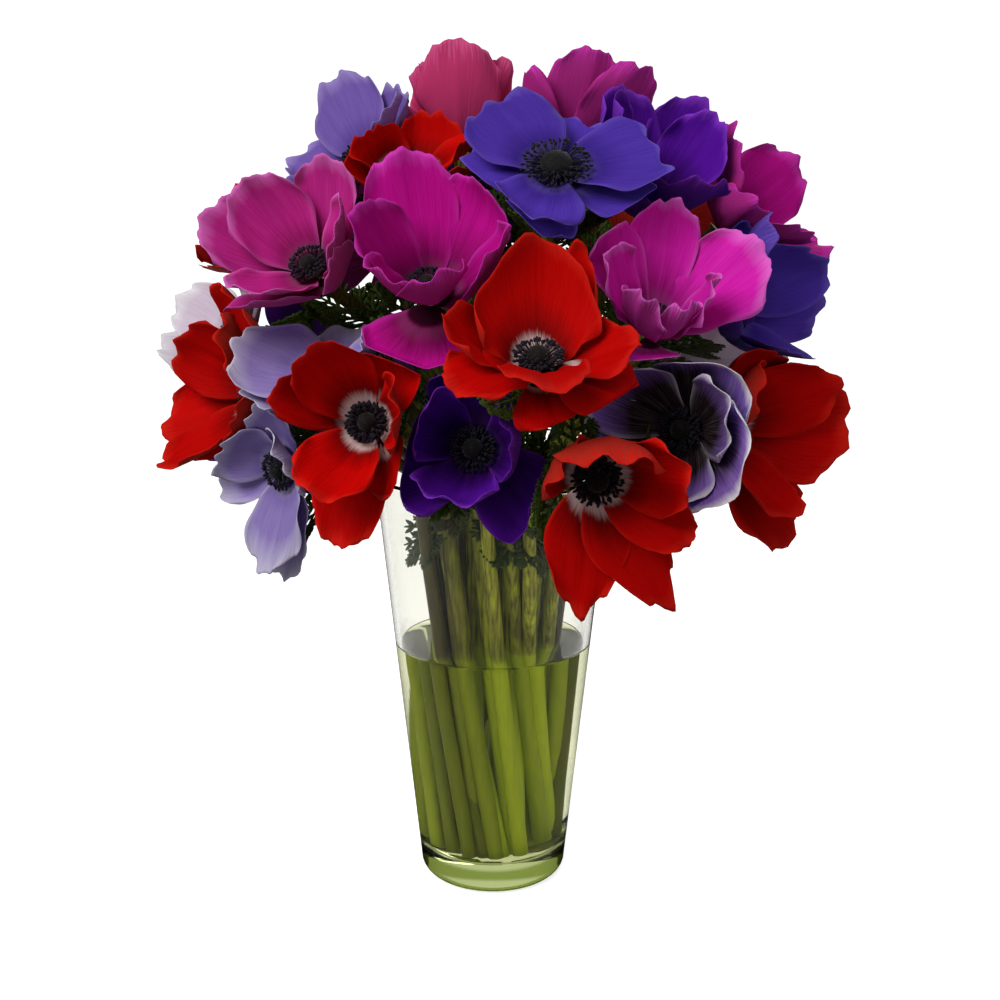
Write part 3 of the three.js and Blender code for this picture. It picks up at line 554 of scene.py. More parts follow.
def petal_surface(flower, petal, u, v, look=None):
    """The middle of a petal, at u from its base to its tip and v across it. It lies on a bowl that is turned
    round the bloom's axis with an arc for its outline, and leaves the bowl by a cup across it, a curl at its
    tip and a wave that grows towards its edge. With a look it also has a notched tip, a ruffled edge and a
    crease down its middle."""
    face, up, right = axes_of(flower)
    side = np.abs(v)
    phase = petal["phase"]
    s = u * (1 - petal["tip"] * side ** (LONG_TIP if petal["tip"] > TIP_ROUND else BROAD_TIP))
    if look:
        teeth = np.sin(NOTCH_WAVES * v + 2 * phase) + FINE_NOTCH * np.sin(FINE_WAVES * v + phase)
        s = s + look.notch * u ** 4 * teeth
    rise = math.radians(petal["rise"])
    bend = math.radians(petal["bend"]) or 1e-3
    angle = rise + bend * s
    along = PETAL_START + petal["length"] / bend * (np.sin(angle) - math.sin(rise))
    height = petal["base"] + petal["length"] / bend * (math.cos(rise) - np.cos(angle))
    half = petal["width"] / 2 * np.sin(math.pi * (CLAW + petal["taper"] * u))
    swing = petal["spread"] * np.tanh(half / (np.maximum(along, 1) * petal["spread"]))
    around = math.radians(petal["turn"]) + swing * v + petal["sweep"] * s * s
    out = np.cos(around)[..., None] * up + np.sin(around)[..., None] * right
    inward = np.cos(angle)[..., None] * face - np.sin(angle)[..., None] * out
    edge = WAVE_MIDDLE + (1 - WAVE_MIDDLE) * v * v
    lift = petal["cup"] * half * v * v - petal["curl"] * s ** 4
    lift = lift + petal["wave"] * s * s * np.sin(phase + WAVE_TURNS * v) * edge
    if look:
        ruffle = side ** 4 * np.sin(EDGE_WAVES * u + 3 * phase + 2 * np.sign(v))
        ruffle = ruffle + u ** 6 * np.sin(TIP_WAVES * v + 2 * phase)
        crease = np.exp(-(v / CREASE_WIDTH) ** 2) * np.sin(math.pi * u)
        lift = lift + look.ruffle / MM * u * ruffle - look.crease / MM * crease
    return flower["at"] + out * along[..., None] + face * height[..., None] + inward * lift[..., None]


# Meshes

def joined(parts):
    """Several sets of points and faces as one, each set's faces moved on by the points before it."""
    points, faces, first = [], [], 0
    for part_points, part_faces in parts:
        points.append(part_points)
        faces.extend(group + first for group in part_faces)
        first += len(part_points)
    return np.concatenate(points), faces


def sheets(middle, thickness):
    """Closed thin sheets from grids of points, as an array of sheet, row, column and x, y, z. Each face lies
    half the thickness from the middle along the grid's normal, the cross product of its two ways, and a rim
    joins them."""
    count, rows, columns, _ = middle.shape
    down = np.gradient(middle, axis=1)
    across = np.gradient(middle, axis=2)
    offset = unit(np.cross(across, down)) * thickness[..., None] / 2
    points = np.stack([middle + offset, middle - offset], axis=1).reshape(-1, 3)
    index = np.arange(count * 2 * rows * columns).reshape(count, 2, rows, columns)
    front, back = index[:, 0], index[:, 1]
    def quads(a, b, c, d):
        return np.stack([a, b, c, d], axis=-1).reshape(-1, 4)
    def grid(layer):
        return layer[:, :-1, :-1], layer[:, :-1, 1:], layer[:, 1:, 1:], layer[:, 1:, :-1]
    def edge(layer):
        return np.concatenate([
            layer[:, 0, :-1], layer[:, :-1, -1], layer[:, -1, :0:-1], layer[:, :0:-1, 0],
        ], axis=1)
    ring, under = edge(front), edge(back)
    after, under_after = np.roll(ring, -1, axis=1), np.roll(under, -1, axis=1)
    faces = [quads(*grid(front)), quads(*grid(back)[::-1]), quads(after, ring, under, under_after)]
    return points, faces


def square_to(vectors, along):
    """Vectors less their share along a path, divided by their length."""
    return unit(vectors - along * np.sum(vectors * along, axis=-1, keepdims=True))


def tubes(paths, radii, sides):
    """Closed round tubes, one for each path: a ring about each point, square to the path, with as little
    twist from ring to ring as there can be."""
    count, steps, _ = paths.shape
    along = unit(np.gradient(paths, axis=1))
    upright = np.abs(along[:, :1, 2:]) > 0.9
    across = np.empty_like(paths)
    across[:, 0] = np.where(upright, [1.0, 0.0, 0.0], [0.0, 0.0, 1.0])[:, 0]
    across[:, 0] = square_to(across[:, 0], along[:, 0])
    for k in range(1, steps):
        across[:, k] = square_to(across[:, k - 1], along[:, k])
    third = np.cross(along, across)
    angle = TAU * np.arange(sides) / sides
    ring = np.cos(angle)[:, None] * across[:, :, None] + np.sin(angle)[:, None] * third[:, :, None]
    points = (paths[:, :, None] + radii[:, :, None, None] * ring).reshape(-1, 3)
    index = np.arange(count * steps * sides).reshape(count, steps, sides)
    turned = np.roll(index, -1, axis=2)
    walls = np.stack([index[:, :-1], turned[:, :-1], turned[:, 1:], index[:, 1:]], axis=-1).reshape(-1, 4)
    return points, [walls, index[:, 0, ::-1], index[:, -1]]


def lathe(profile, sides, place=(0.0, 0.0, 0.0), axes=UPRIGHT_AXES):
    """A profile of [radius, height] pairs turned round an axis, with a flat face at each end."""
    angle = TAU * np.arange(sides) / sides
    face, up, right = axes
    out = np.cos(angle)[:, None] * up + np.sin(angle)[:, None] * right
    points = place + profile[:, 0, None, None] * out + profile[:, 1, None, None] * face
    index = np.arange(len(profile) * sides).reshape(len(profile), sides)
    turned = np.roll(index, -1, axis=1)
    walls = np.stack([index[:-1], turned[:-1], turned[1:], index[1:]], axis=-1).reshape(-1, 4)
    faces = [walls, index[:1, ::-1], index[-1:]]
    if np.dot(np.cross(up, right), face) < 0:
        faces = [group[:, ::-1] for group in faces]
    return points.reshape(-1, 3), faces


def add_mesh(name, points, faces, material, attributes=None):
    """A mesh object at the origin, from points in millimetres and arrays of faces."""
    mesh = bpy.data.meshes.new(name)
    sizes = np.concatenate([np.full(len(group), group.shape[1]) for group in faces])
    corners = np.concatenate([group.ravel() for group in faces])
    starts = np.cumsum(sizes) - sizes
    mesh.vertices.add(len(points))
    mesh.vertices.foreach_set("co", (points * MM).astype(np.float32).ravel())
    mesh.loops.add(len(corners))
    mesh.loops.foreach_set("vertex_index", corners.astype(np.int32))
    mesh.polygons.add(len(sizes))
    mesh.polygons.foreach_set("loop_start", starts.astype(np.int32))
    mesh.polygons.foreach_set("use_smooth", np.ones(len(sizes), bool))
    for key, values in (attributes or {}).items():
        vector = values.ndim == 2
        layer = mesh.attributes.new(key, "FLOAT_VECTOR" if vector else "FLOAT", "POINT")
        layer.data.foreach_set("vector" if vector else "value", values.astype(np.float32).ravel())
    mesh.update()
    mesh.validate()
    mesh.materials.append(material)
    made = bpy.data.objects.new(name, mesh)
    bpy.context.scene.collection.objects.link(made)
    return made


def add_piece(name, points, faces, material, slot, replaces, attributes=None):
    """A piece of the bouquet, which rides on the body and stands for its nodes. The slot is not used."""
    made = add_mesh(name, points, faces, material, attributes)
    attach(made, "root")
    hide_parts(*replaces)


# Materials

class Finish:
    """A material whose nodes are added by short calls, with numbers, colours or other nodes' outputs."""

    def __init__(self, name):
        self.material = bpy.data.materials.new(name)
        self.material.use_nodes = True
        self.nodes = self.material.node_tree.nodes
        self.links = self.material.node_tree.links
        self.shader = self.nodes["Principled BSDF"]

    def feed(self, socket, value):
        """A link where the value is an output, and the value itself otherwise."""
        if isinstance(value, bpy.types.NodeSocket):
            self.links.new(value, socket)
        elif isinstance(value, (tuple, list)) and len(value) == 3 and socket.type == "RGBA":
            socket.default_value = (*value, 1.0)
        else:
            socket.default_value = value

    def set(self, **values):
        """Values for the shader's own sockets, by their names with _ for a space."""
        for key, value in values.items():
            self.feed(self.shader.inputs[key.replace("_", " ")], value)

    def attribute(self, name, output="Fac"):
        node = self.nodes.new("ShaderNodeAttribute")
        node.attribute_name = name
        return node.outputs[output]

    def place(self):
        return self.nodes.new("ShaderNodeTexCoord").outputs["Object"]

    def split(self, vector):
        node = self.nodes.new("ShaderNodeSeparateXYZ")
        self.feed(node.inputs[0], vector)
        return node.outputs

    def vector(self, x, y, z):
        node = self.nodes.new("ShaderNodeCombineXYZ")
        for socket, value in zip(node.inputs, (x, y, z)):
            self.feed(socket, value)
        return node.outputs[0]

    def math(self, operation, a, b=0.0, c=0.0):
        node = self.nodes.new("ShaderNodeMath")
        node.operation = operation
        for socket, value in zip(node.inputs, (a, b, c)):
            self.feed(socket, value)
        return node.outputs[0]

    def times(self, a, b):
        return self.math("MULTIPLY", a, b)

    def times_add(self, a, b, c):
        return self.math("MULTIPLY_ADD", a, b, c)

    def less_half(self, value):
        return self.math("SUBTRACT", value, 0.5)

    def step(self, value, low, high):
        """0 at low, 1 at high, and a smooth S between."""
        node = self.nodes.new("ShaderNodeMapRange")
        node.interpolation_type = "SMOOTHSTEP"
        for socket, given in zip(node.inputs, (value, low, high)):
            self.feed(socket, given)
        return node.outputs[0]

    def noise(self, vector, scale, detail, roughness):
        node = self.nodes.new("ShaderNodeTexNoise")
        self.feed(node.inputs["Vector"], vector)
        self.feed(node.inputs["Scale"], scale)
        self.feed(node.inputs["Detail"], detail)
        self.feed(node.inputs["Roughness"], roughness)
        return node.outputs["Fac"]

    def ramp(self, value, stops):
        """A colour ramp through stops of a place and a colour."""
        node = self.nodes.new("ShaderNodeValToRGB")
        self.feed(node.inputs[0], value)
        entries = node.color_ramp.elements
        while len(entries) < len(stops):
            entries.new(0.5)
        for entry, (at, colour) in zip(entries, stops):
            entry.position = at
            entry.color = (*colour, 1.0)
        return node.outputs["Color"]

    def mix(self, share, a, b, mode="MIX"):
        node = self.nodes.new("ShaderNodeMix")
        node.data_type = "RGBA"
        node.blend_type = mode
        self.feed(node.inputs[0], share)
        self.feed(node.inputs[6], a)
        self.feed(node.inputs[7], b)
        return node.outputs[2]

    def bump(self, height, depth, strength):
        node = self.nodes.new("ShaderNodeBump")
        self.feed(node.inputs["Height"], height)
        self.feed(node.inputs["Distance"], depth)
        self.feed(node.inputs["Strength"], strength)
        self.feed(self.shader.inputs["Normal"], node.outputs[0])

    def toned(self, colour, tone, gain, least):
        """A colour times a brightness that rises with the tone."""
        brightness = self.times_add(tone, gain, least)
        return self.mix(1.0, colour, self.vector(brightness, brightness, brightness), "MULTIPLY")


def fanned(finish, place, wide, apart, tall, detail, roughness):
    """Noise drawn out into streaks that fan out along a petal, moved on by the petal's tone."""
    across, along, tone = place
    moved = finish.times_add(across, wide, finish.times(tone, apart))
    return finish.noise(finish.vector(moved, finish.times(along, tall), tone), 1.0, detail, roughness)


def petal_finish(tint, main):
    """A velvety petal: streaks and veins fan out from its base, its throat is deep (partly its own dark
    base, partly painted shade), its rim pale with a painted highlight, its back dull, and a ring of fringe
    lies round a dark patch at its base."""
    look = TINTS[tint]
    finish = Finish(f"{tint}_petal")
    place = finish.split(finish.attribute("petal_place", "Vector"))
    across, along, tone = place
    back = finish.attribute("petal_back")
    streak = fanned(finish, place, *STREAKS)
    vein = fanned(finish, place, *VEINS)
    low, high = look["open"]
    reach = finish.times_add(finish.less_half(streak), 0.22, along)
    # Along the petal: the deep throat, partly its own dark base and partly painted shade in the cup, then
    # the main colour, then the pale rim colour at the tip, partly painted highlight
    colour = finish.ramp(reach, [
        (low - THROAT_BLEND, look["deep"]), (low, main), (high, main), (1.0, look["rim"]),
    ])
    veined = finish.step(vein, 0.42, 0.7)
    colour = finish.mix(finish.times(veined, 0.1), colour, look["rim"])
    shade = finish.step(vein, 0.5, 0.28)
    colour = finish.mix(finish.times(shade, 0.2), colour, look["deep"])
    # Pale edges along each petal's sides and tip: partly a pale rim of its own, partly painted rim highlight
    side = finish.math("POWER", finish.math("ABSOLUTE", across), 16.0)
    edge = finish.math("MAXIMUM", side, finish.math("POWER", along, 24.0))
    colour = finish.mix(finish.times(edge, 0.7), colour, look["rim"])
    ragged = finish.times_add(finish.less_half(vein), 0.14, along)
    fringe = finish.times(finish.step(along, *FRINGE_START), finish.step(ragged, *FRINGE_END))
    colour = finish.mix(finish.times(fringe, look["strength"]), colour, look["fringe"])
    colour = finish.mix(finish.step(along, *PATCH_END), colour, look["patch"])
    # The back runs from the deep colour at its base, partly painted shade, to the pale rim at its tip
    behind = finish.ramp(finish.times_add(finish.less_half(vein), 0.9, along), [
        (0.0, look["deep"]), (0.25, look["back"]), (0.9, look["back"]), (1.0, look["rim"]),
    ])
    colour = finish.toned(finish.mix(back, colour, behind), tone, 0.3, 0.85)
    finish.set(Base_Color=colour, Roughness=0.6, Specular_IOR_Level=0.03)
    finish.set(Sheen_Weight=0.02, Sheen_Roughness=0.4, Sheen_Tint=look["rim"])
    finish.bump(finish.times_add(vein, 0.7, streak), 0.0008, 0.5)
    return finish.material


def heart_finish(name, dark, pale):
    """Powdery dark anthers, filaments and seed head."""
    finish = Finish(name)
    grain = finish.noise(finish.place(), 900.0, 3.0, 0.6)
    colour = finish.ramp(grain, [(0.35, dark), (0.7, pale)])
    finish.set(Base_Color=colour, Roughness=0.75, Specular_IOR_Level=0.2, Sheen_Weight=0.15)
    finish.bump(grain, 0.0003, 0.6)
    return finish.material


def green_finish(name, look):
    """Waxy stem or leaf: streaks that run upwards, with blotches, and painted light where it stands in the
    water, where it is paler and less brown. Its tone makes it lighter, or darker and brown."""
    keys = (name, f"{name}_dark", f"{name}_pale", "brown")
    main, dark, pale, brown = (tuple(getattr(look, key)) for key in keys)
    finish = Finish(name)
    place = finish.place()
    x, y, z = finish.split(place)
    fibres = finish.vector(
        finish.times(x, FIBRES_ACROSS), finish.times(y, FIBRES_ACROSS), finish.times(z, FIBRES_ALONG),
    )
    streak = finish.noise(fibres, 1.0, 4.0, 0.6)
    blotch = finish.noise(place, BLOTCHES, 3.0, 0.5)
    colour = finish.ramp(streak, [(0.3, dark), (0.5, main), (0.72, pale)])
    colour = finish.mix(finish.times(finish.step(blotch, 0.5, 0.7), 0.5), colour, dark)
    tone = finish.attribute("tone")
    # Below the water line the colour is drawn to the pale green and the brown is mostly left out: painted
    # light, for stems that look brighter where light comes through the glass and water
    sunk = finish.step(z, (WATER_LEVEL + 4) * MM, (WATER_LEVEL - 6) * MM)
    colour = finish.mix(finish.times(sunk, 0.75), colour, pale)
    dull = finish.times(finish.step(tone, 0.5, 0.2), finish.times_add(sunk, -0.6, 0.8))
    colour = finish.toned(finish.mix(dull, colour, brown), tone, 0.95, 0.38)
    finish.set(Base_Color=colour, Roughness=0.42, Specular_IOR_Level=0.15)
    finish.bump(streak, 0.0004, 0.5)
    return finish.material


def clear_finish(name, colour, bending, foot=None):
    """A clear solid or liquid. With a foot's colour, it is tinted where it is below the vase's floor."""
    finish = Finish(name)
    if foot:
        height = finish.split(finish.place())[2]
        colour = finish.mix(finish.step(height, FLOOR * MM, (FLOOR - FOOT_FADE) * MM), colour, foot)
    finish.set(Base_Color=colour, Transmission_Weight=1.0, IOR=bending, Roughness=0.0)
    finish.set(Specular_Tint=(0.2, 0.2, 0.2))
    return finish.material


# What a user can change

def colour_property(name, default):
    return FloatVectorProperty(name=name, description=f"{name} of the bouquet", subtype="COLOR", size=3,
                               min=0.0, max=1.0, default=default)


def count_property(name, description, default, low, high):
    return IntProperty(name=name, description=description, default=default, min=low, max=high)


def length_property(name, description, default):
    return FloatProperty(name=name, description=description, default=default, unit="LENGTH")


def power_property(name, description, default):
    return FloatProperty(name=name, description=description, default=default, unit="POWER")


class BouquetPetals(bpy.types.PropertyGroup):
    """Sizes and colours of the petals"""
    rows: count_property("Rows", "Steps along a petal", 26, 8, 60)
    columns: count_property("Columns", "Steps across a petal", 24, 8, 60)
    thickness: length_property("Thickness", "Thickness of a petal in its middle", 0.0006)
    ruffle: length_property("Ruffle", "Height of the ruffles at a petal's edge", 0.0017)
    crease: length_property("Crease", "Depth of the crease down a petal's middle", 0.0007)
    notch: FloatProperty(name="Notch", description="Depth of the tip's notches, as a share of the length",
                         default=0.018)


for each_tint, each_look in TINTS.items():
    BouquetPetals.__annotations__[each_tint] = colour_property(each_tint.capitalize(), each_look["main"])


class BouquetHearts(bpy.types.PropertyGroup):
    """Sizes and colours of the seed heads and stamens"""
    stamens: count_property("Stamens", "Stamens round one seed head", 84, 20, 160)
    filament: length_property("Filament", "Radius of a stamen's thread", 0.00017)
    anther: length_property("Anther", "Radius of a stamen's head", 0.0006)
    dark: colour_property("Anther dark", (0.003, 0.002, 0.006))
    pale: colour_property("Anther powder", (0.011, 0.008, 0.024))
    seed_dark: colour_property("Seed head dark", (0.002, 0.0015, 0.002))
    seed_pale: colour_property("Seed head powder", (0.011, 0.01, 0.009))


class BouquetGreens(bpy.types.PropertyGroup):
    """Sizes and colours of the stems and leaves"""
    steps: count_property("Steps", "Steps along a stem's half", 22, 6, 60)
    sides: count_property("Sides", "Sides of a stem", 12, 5, 32)
    stem: colour_property("Stem", (0.3, 0.29, 0.035))
    stem_dark: colour_property("Stem shade", (0.07, 0.065, 0.012))
    stem_pale: colour_property("Stem light", (0.56, 0.68, 0.02))
    brown: colour_property("Dull stem", (0.15, 0.11, 0.045))
    leaf: colour_property("Leaf", (0.06, 0.11, 0.012))
    leaf_dark: colour_property("Leaf shade", (0.015, 0.03, 0.006))
    leaf_pale: colour_property("Leaf light", (0.14, 0.2, 0.05))


class BouquetGlass(bpy.types.PropertyGroup):
    """Sizes and colours of the vase and its water"""
    sides: count_property("Sides", "Sides of the vase", 128, 24, 256)
    glass: colour_property("Glass", (0.87, 0.87, 0.82))
    foot: colour_property("Foot", (0.2, 0.26, 0.05))
    water: colour_property("Water", (0.94, 0.96, 0.74))


class BouquetStudio(bpy.types.PropertyGroup):
    """The camera and the lights"""
    lens: FloatProperty(name="Lens", description="Focal length of the camera", default=45.0, unit="CAMERA")
    distance: length_property("Distance", "How far in front the camera stands", 0.554)
    level: length_property("Level", "How high the camera stands", 0.295)
    tilt: FloatProperty(name="Tilt", description="How far the camera looks down", default=math.radians(12),
                        subtype="ANGLE")
    shift: FloatProperty(name="Shift", default=0.007,
                         description="Share of the frame that the vase stands left of its middle")
    key: power_property("Key light", "Power of the large light above on the left", 15.0)
    fill: power_property("Fill light", "Power of the soft light on the right", 2.0)
    rear: power_property("Back light", "Power of the light behind", 4.0)
    glow: FloatProperty(name="Glow", description="How much the floor glows by itself", default=0.75)
    sky: FloatProperty(name="Sky", description="Strength of the light from all round", default=0.2)


# Hearts

def clear_height(flower, radius):
    """The lowest height at which a disc of that radius, and the cone that carries it, clear the petals."""
    face = axes_of(flower)[0]
    cell = walls_of(flower)
    u, v = np.meshgrid(np.arange(1, 11) * 0.1, np.arange(-4, 5) * 0.25, indexing="ij")
    highest = 0.0
    for petal in petals_of(flower):
        offset = keep_in_cell(petal_surface(flower, petal, u, v), cell) - flower["at"]
        height = offset @ face
        out = np.linalg.norm(offset - height[..., None] * face, axis=-1)
        slant = np.maximum(1, (radius - CENTRE_FOOT) / np.maximum(out - CENTRE_FOOT, 1))
        carried = CENTRE_BASE + (height + CONE_CLEAR - CENTRE_BASE) * slant
        needed = np.where(out > radius + 1, 0, np.maximum(height + CENTRE_CLEAR, carried))
        highest = max(highest, needed.max())
    return highest


def disc_of(flower):
    """The radius and height of a bloom's disc, which is narrower in a steep cup."""
    radius = flower["disc"]
    while radius > CENTRE_NARROWEST and clear_height(flower, radius) > CENTRE_HIGHEST:
        radius -= 0.5
    return radius, max(CENTRE_BASE + CENTRE_LOWEST, clear_height(flower, radius))


def seed_head(flower, radius, ring):
    """A domed seed head: a half ellipse turned round the bloom's axis, with a lattice of grains where two
    families of spirals cross, on a short foot."""
    axes = axes_of(flower)
    dome = DOME_SHARE * radius
    sweep = np.linspace(0.02, 0.62 * math.pi, SEED_ROWS)
    profile = np.stack([dome * np.sin(sweep), ring + DOME_BASE + DOME_HEIGHT * np.cos(sweep)], axis=-1)
    profile = np.concatenate([profile, [[0.55 * dome, ring - 1.4], [1.2, CENTRE_BASE]]])
    profile[:, 1] = np.maximum(profile[:, 1], CENTRE_BASE)
    points, faces = lathe(profile, SEED_SIDES, flower["at"], axes)
    around = np.tile(TAU * np.arange(SEED_SIDES) / SEED_SIDES, len(profile))
    down = np.repeat(np.concatenate([sweep, [2.2, 2.4]]), SEED_SIDES)
    turns, drop = SEED_SPIRALS
    left = 0.5 + 0.5 * np.cos(turns * around + drop * down)
    right = 0.5 + 0.5 * np.cos(turns * around - drop * down)
    grain = left * right
    lift = SEED_GRAIN * grain * np.sin(np.minimum(down, 1.6))
    middle = flower["at"] + axes[0] * ring
    points = points + unit(points - middle) * lift[:, None]
    return points, [group[:, ::-1] for group in faces]


def stamens(flower, radius, ring, look):
    """Stamens on golden-angle places round the seed head: each thread is a quadratic arc from under the head
    to its place, and its anther is a short fat tube that goes on from the arc's end."""
    face, up, right = axes_of(flower)
    count = look.stamens
    i = np.arange(count)
    rng = np.random.default_rng(flower["seed"])
    share = np.sqrt((i + 0.5) / count)
    around = i * GOLDEN_ANGLE + rng.uniform(-0.08, 0.08, count)
    out = np.cos(around)[:, None] * up + np.sin(around)[:, None] * right
    dome = DOME_SHARE * radius
    tip_out = dome + 0.5 + (STAMEN_SPREAD * radius - dome - 0.5) * share + rng.uniform(-0.4, 0.4, count)
    tip_high = ring + 0.8 + 3.0 * (1 - share) + rng.uniform(-0.5, 0.7, count)
    root_high = CENTRE_BASE + 0.3 + 0.25 * (ring - CENTRE_BASE)
    middle_high = root_high + 0.9 * (tip_high - root_high)
    start = flower["at"] + 1.2 * out + face * root_high
    end = flower["at"] + out * tip_out[:, None] + face * tip_high[:, None]
    middle = flower["at"] + out * (0.62 * tip_out)[:, None] + face * middle_high[:, None]
    def arc(t):
        t = t[None, :, None]
        return (1 - t) ** 2 * start[:, None] + 2 * t * (1 - t) * middle[:, None] + t * t * end[:, None]
    threads = arc(np.linspace(0, 1, len(THREAD_RADII)))
    heading = end - middle + face * rng.uniform(-1.5, 2.5, (count, 1)) + 0.6 * rng.normal(size=(count, 3))
    heads = end[:, None] + unit(heading)[:, None] * ANTHER_PLACES[None, :, None]
    thread_radii = np.broadcast_to(look.filament / MM * THREAD_RADII, (count, len(THREAD_RADII)))
    head_radii = np.broadcast_to(look.anther / MM * ANTHER_RADII, (count, len(ANTHER_RADII)))
    return joined([tubes(threads, thread_radii, THREAD_SIDES), tubes(heads, head_radii, ANTHER_SIDES)])


# Stems and leaves

def stem_path(flower):
    """Where a bloom's stem stands on the vase's floor, passes the neck and meets the bloom, with its pull at
    each. The stems of outer blooms pass the neck further out, and all of them lean the same way round."""
    face = axes_of(flower)[0]
    x, y, z = flower["at"]
    head = flower["at"] - face * (HUB_HEIGHT / 2 + GAP)
    lean = min(1, math.atan2(math.hypot(x, y), z - NECK_LEVEL) / math.radians(FULL_LEAN))
    around = math.atan2(y, x) + math.radians(STEM_SCATTER) * (draw(flower["seed"], 0, 21) - 0.5)
    neck_radius = NECK_RADIUS * lean ** 0.8
    neck = np.array([neck_radius * math.cos(around), neck_radius * math.sin(around), NECK_LEVEL])
    spread = neck_radius * FOOT_SPREAD * (0.85 + 0.3 * draw(flower["seed"], 0, 22)) + FOOT_MIDDLE
    foot_radius = min(FOOT_WIDEST, spread)
    below = around + math.radians(SPIRAL * (0.5 + draw(flower["seed"], 0, 23)))
    foot_x = FOOT_AT[0] + foot_radius * math.cos(below)
    foot_y = FOOT_AT[1] + foot_radius * math.sin(below)
    foot = np.array([foot_x, foot_y, FLOOR + GAP])
    crown = np.linalg.norm(head - neck)
    sideways = STEM_LEAN * crown * (head - foot)
    neck_pull = np.array([sideways[0], sideways[1], crown]) + flower["bow"]
    return {
        "foot": foot, "foot_pull": neck - foot, "neck": neck, "neck_pull": neck_pull,
        "neck_pull_below": unit(neck_pull) * BELOW_PULL * np.linalg.norm(neck - foot),
        "head": head, "head_pull": face * min(HEAD_PULL, HEAD_SHARE * crown),
    }


def hermite(a, pull_a, b, pull_b, t):
    """A smooth run between two points with a given pull at each end: a cubic in t."""
    t = np.asarray(t, float)[..., None]
    t2, t3 = t * t, t * t * t
    start = (2 * t3 - 3 * t2 + 1) * a + (t3 - 2 * t2 + t) * pull_a
    return start + (3 * t2 - 2 * t3) * b + (t3 - t2) * pull_b


def above_neck(path, t):
    """The stem from the neck to the bloom."""
    return hermite(path["neck"], path["neck_pull"], path["head"], path["head_pull"], t)


def stem_points(flower, steps):
    """Points up a stem: from the floor to the neck, and on to the bloom."""
    path = stem_path(flower)
    t = np.linspace(0, 1, steps + 1)
    below = hermite(path["foot"], path["foot_pull"], path["neck"], path["neck_pull_below"], t[:-1])
    return np.concatenate([below, above_neck(path, t)])


def leaf_at(foot, along, side, arch, length, width):
    """Where a leaf grows, its own axes, how much it arches, and its size."""
    return {"foot": foot, "along": along, "side": side, "over": np.cross(along, side),
            "arch": arch, "length": length, "width": width}


def leaf_places(flower):
    """The whorl of leaves on a bloom's stem. The solids have the first of them where the bloom has one."""
    path = stem_path(flower)
    foot, ahead = above_neck(path, [COLLAR_PLACE, COLLAR_PLACE + COLLAR_AHEAD])
    climb = unit(ahead - foot)
    across = unit(np.cross(climb, [0.3, 0.2, 1.0]))
    third = np.cross(climb, across)
    placed = []
    for k in range(WHORL_LEAVES):
        around = TAU * (k / WHORL_LEAVES + draw(flower["seed"], 0, 31))
        out = across * math.cos(around) + third * math.sin(around)
        length = LEAF_LENGTH * (0.85 + 0.3 * draw(flower["seed"], k, 32))
        if k >= flower["leaves"]:
            length *= FURTHER_LEAF
        width = LEAF_WIDTH * min(1, length / FULL_WIDTH_LENGTH)
        along = unit(climb * LEAF_SPREAD + out)
        placed.append(leaf_at(foot - out, along, np.cross(climb, out), COLLAR_ARCH, length, width))
    return placed


def frond_place(around, level, reach, width, drop):
    """A frond grows out of the bundle, over the outer stems. At the neck it hangs down in the glass."""
    angle = math.radians(around)
    out = np.array([math.sin(angle), -math.cos(angle), 0.0])
    side = np.array([math.cos(angle), math.sin(angle), 0.0])
    along = unit(out - np.array([0.0, 0.0, drop]))
    foot = out * FROND_ROOT + np.array([0.0, 0.0, level])
    return leaf_at(foot, along, side, FROND_ARCH, reach, width)


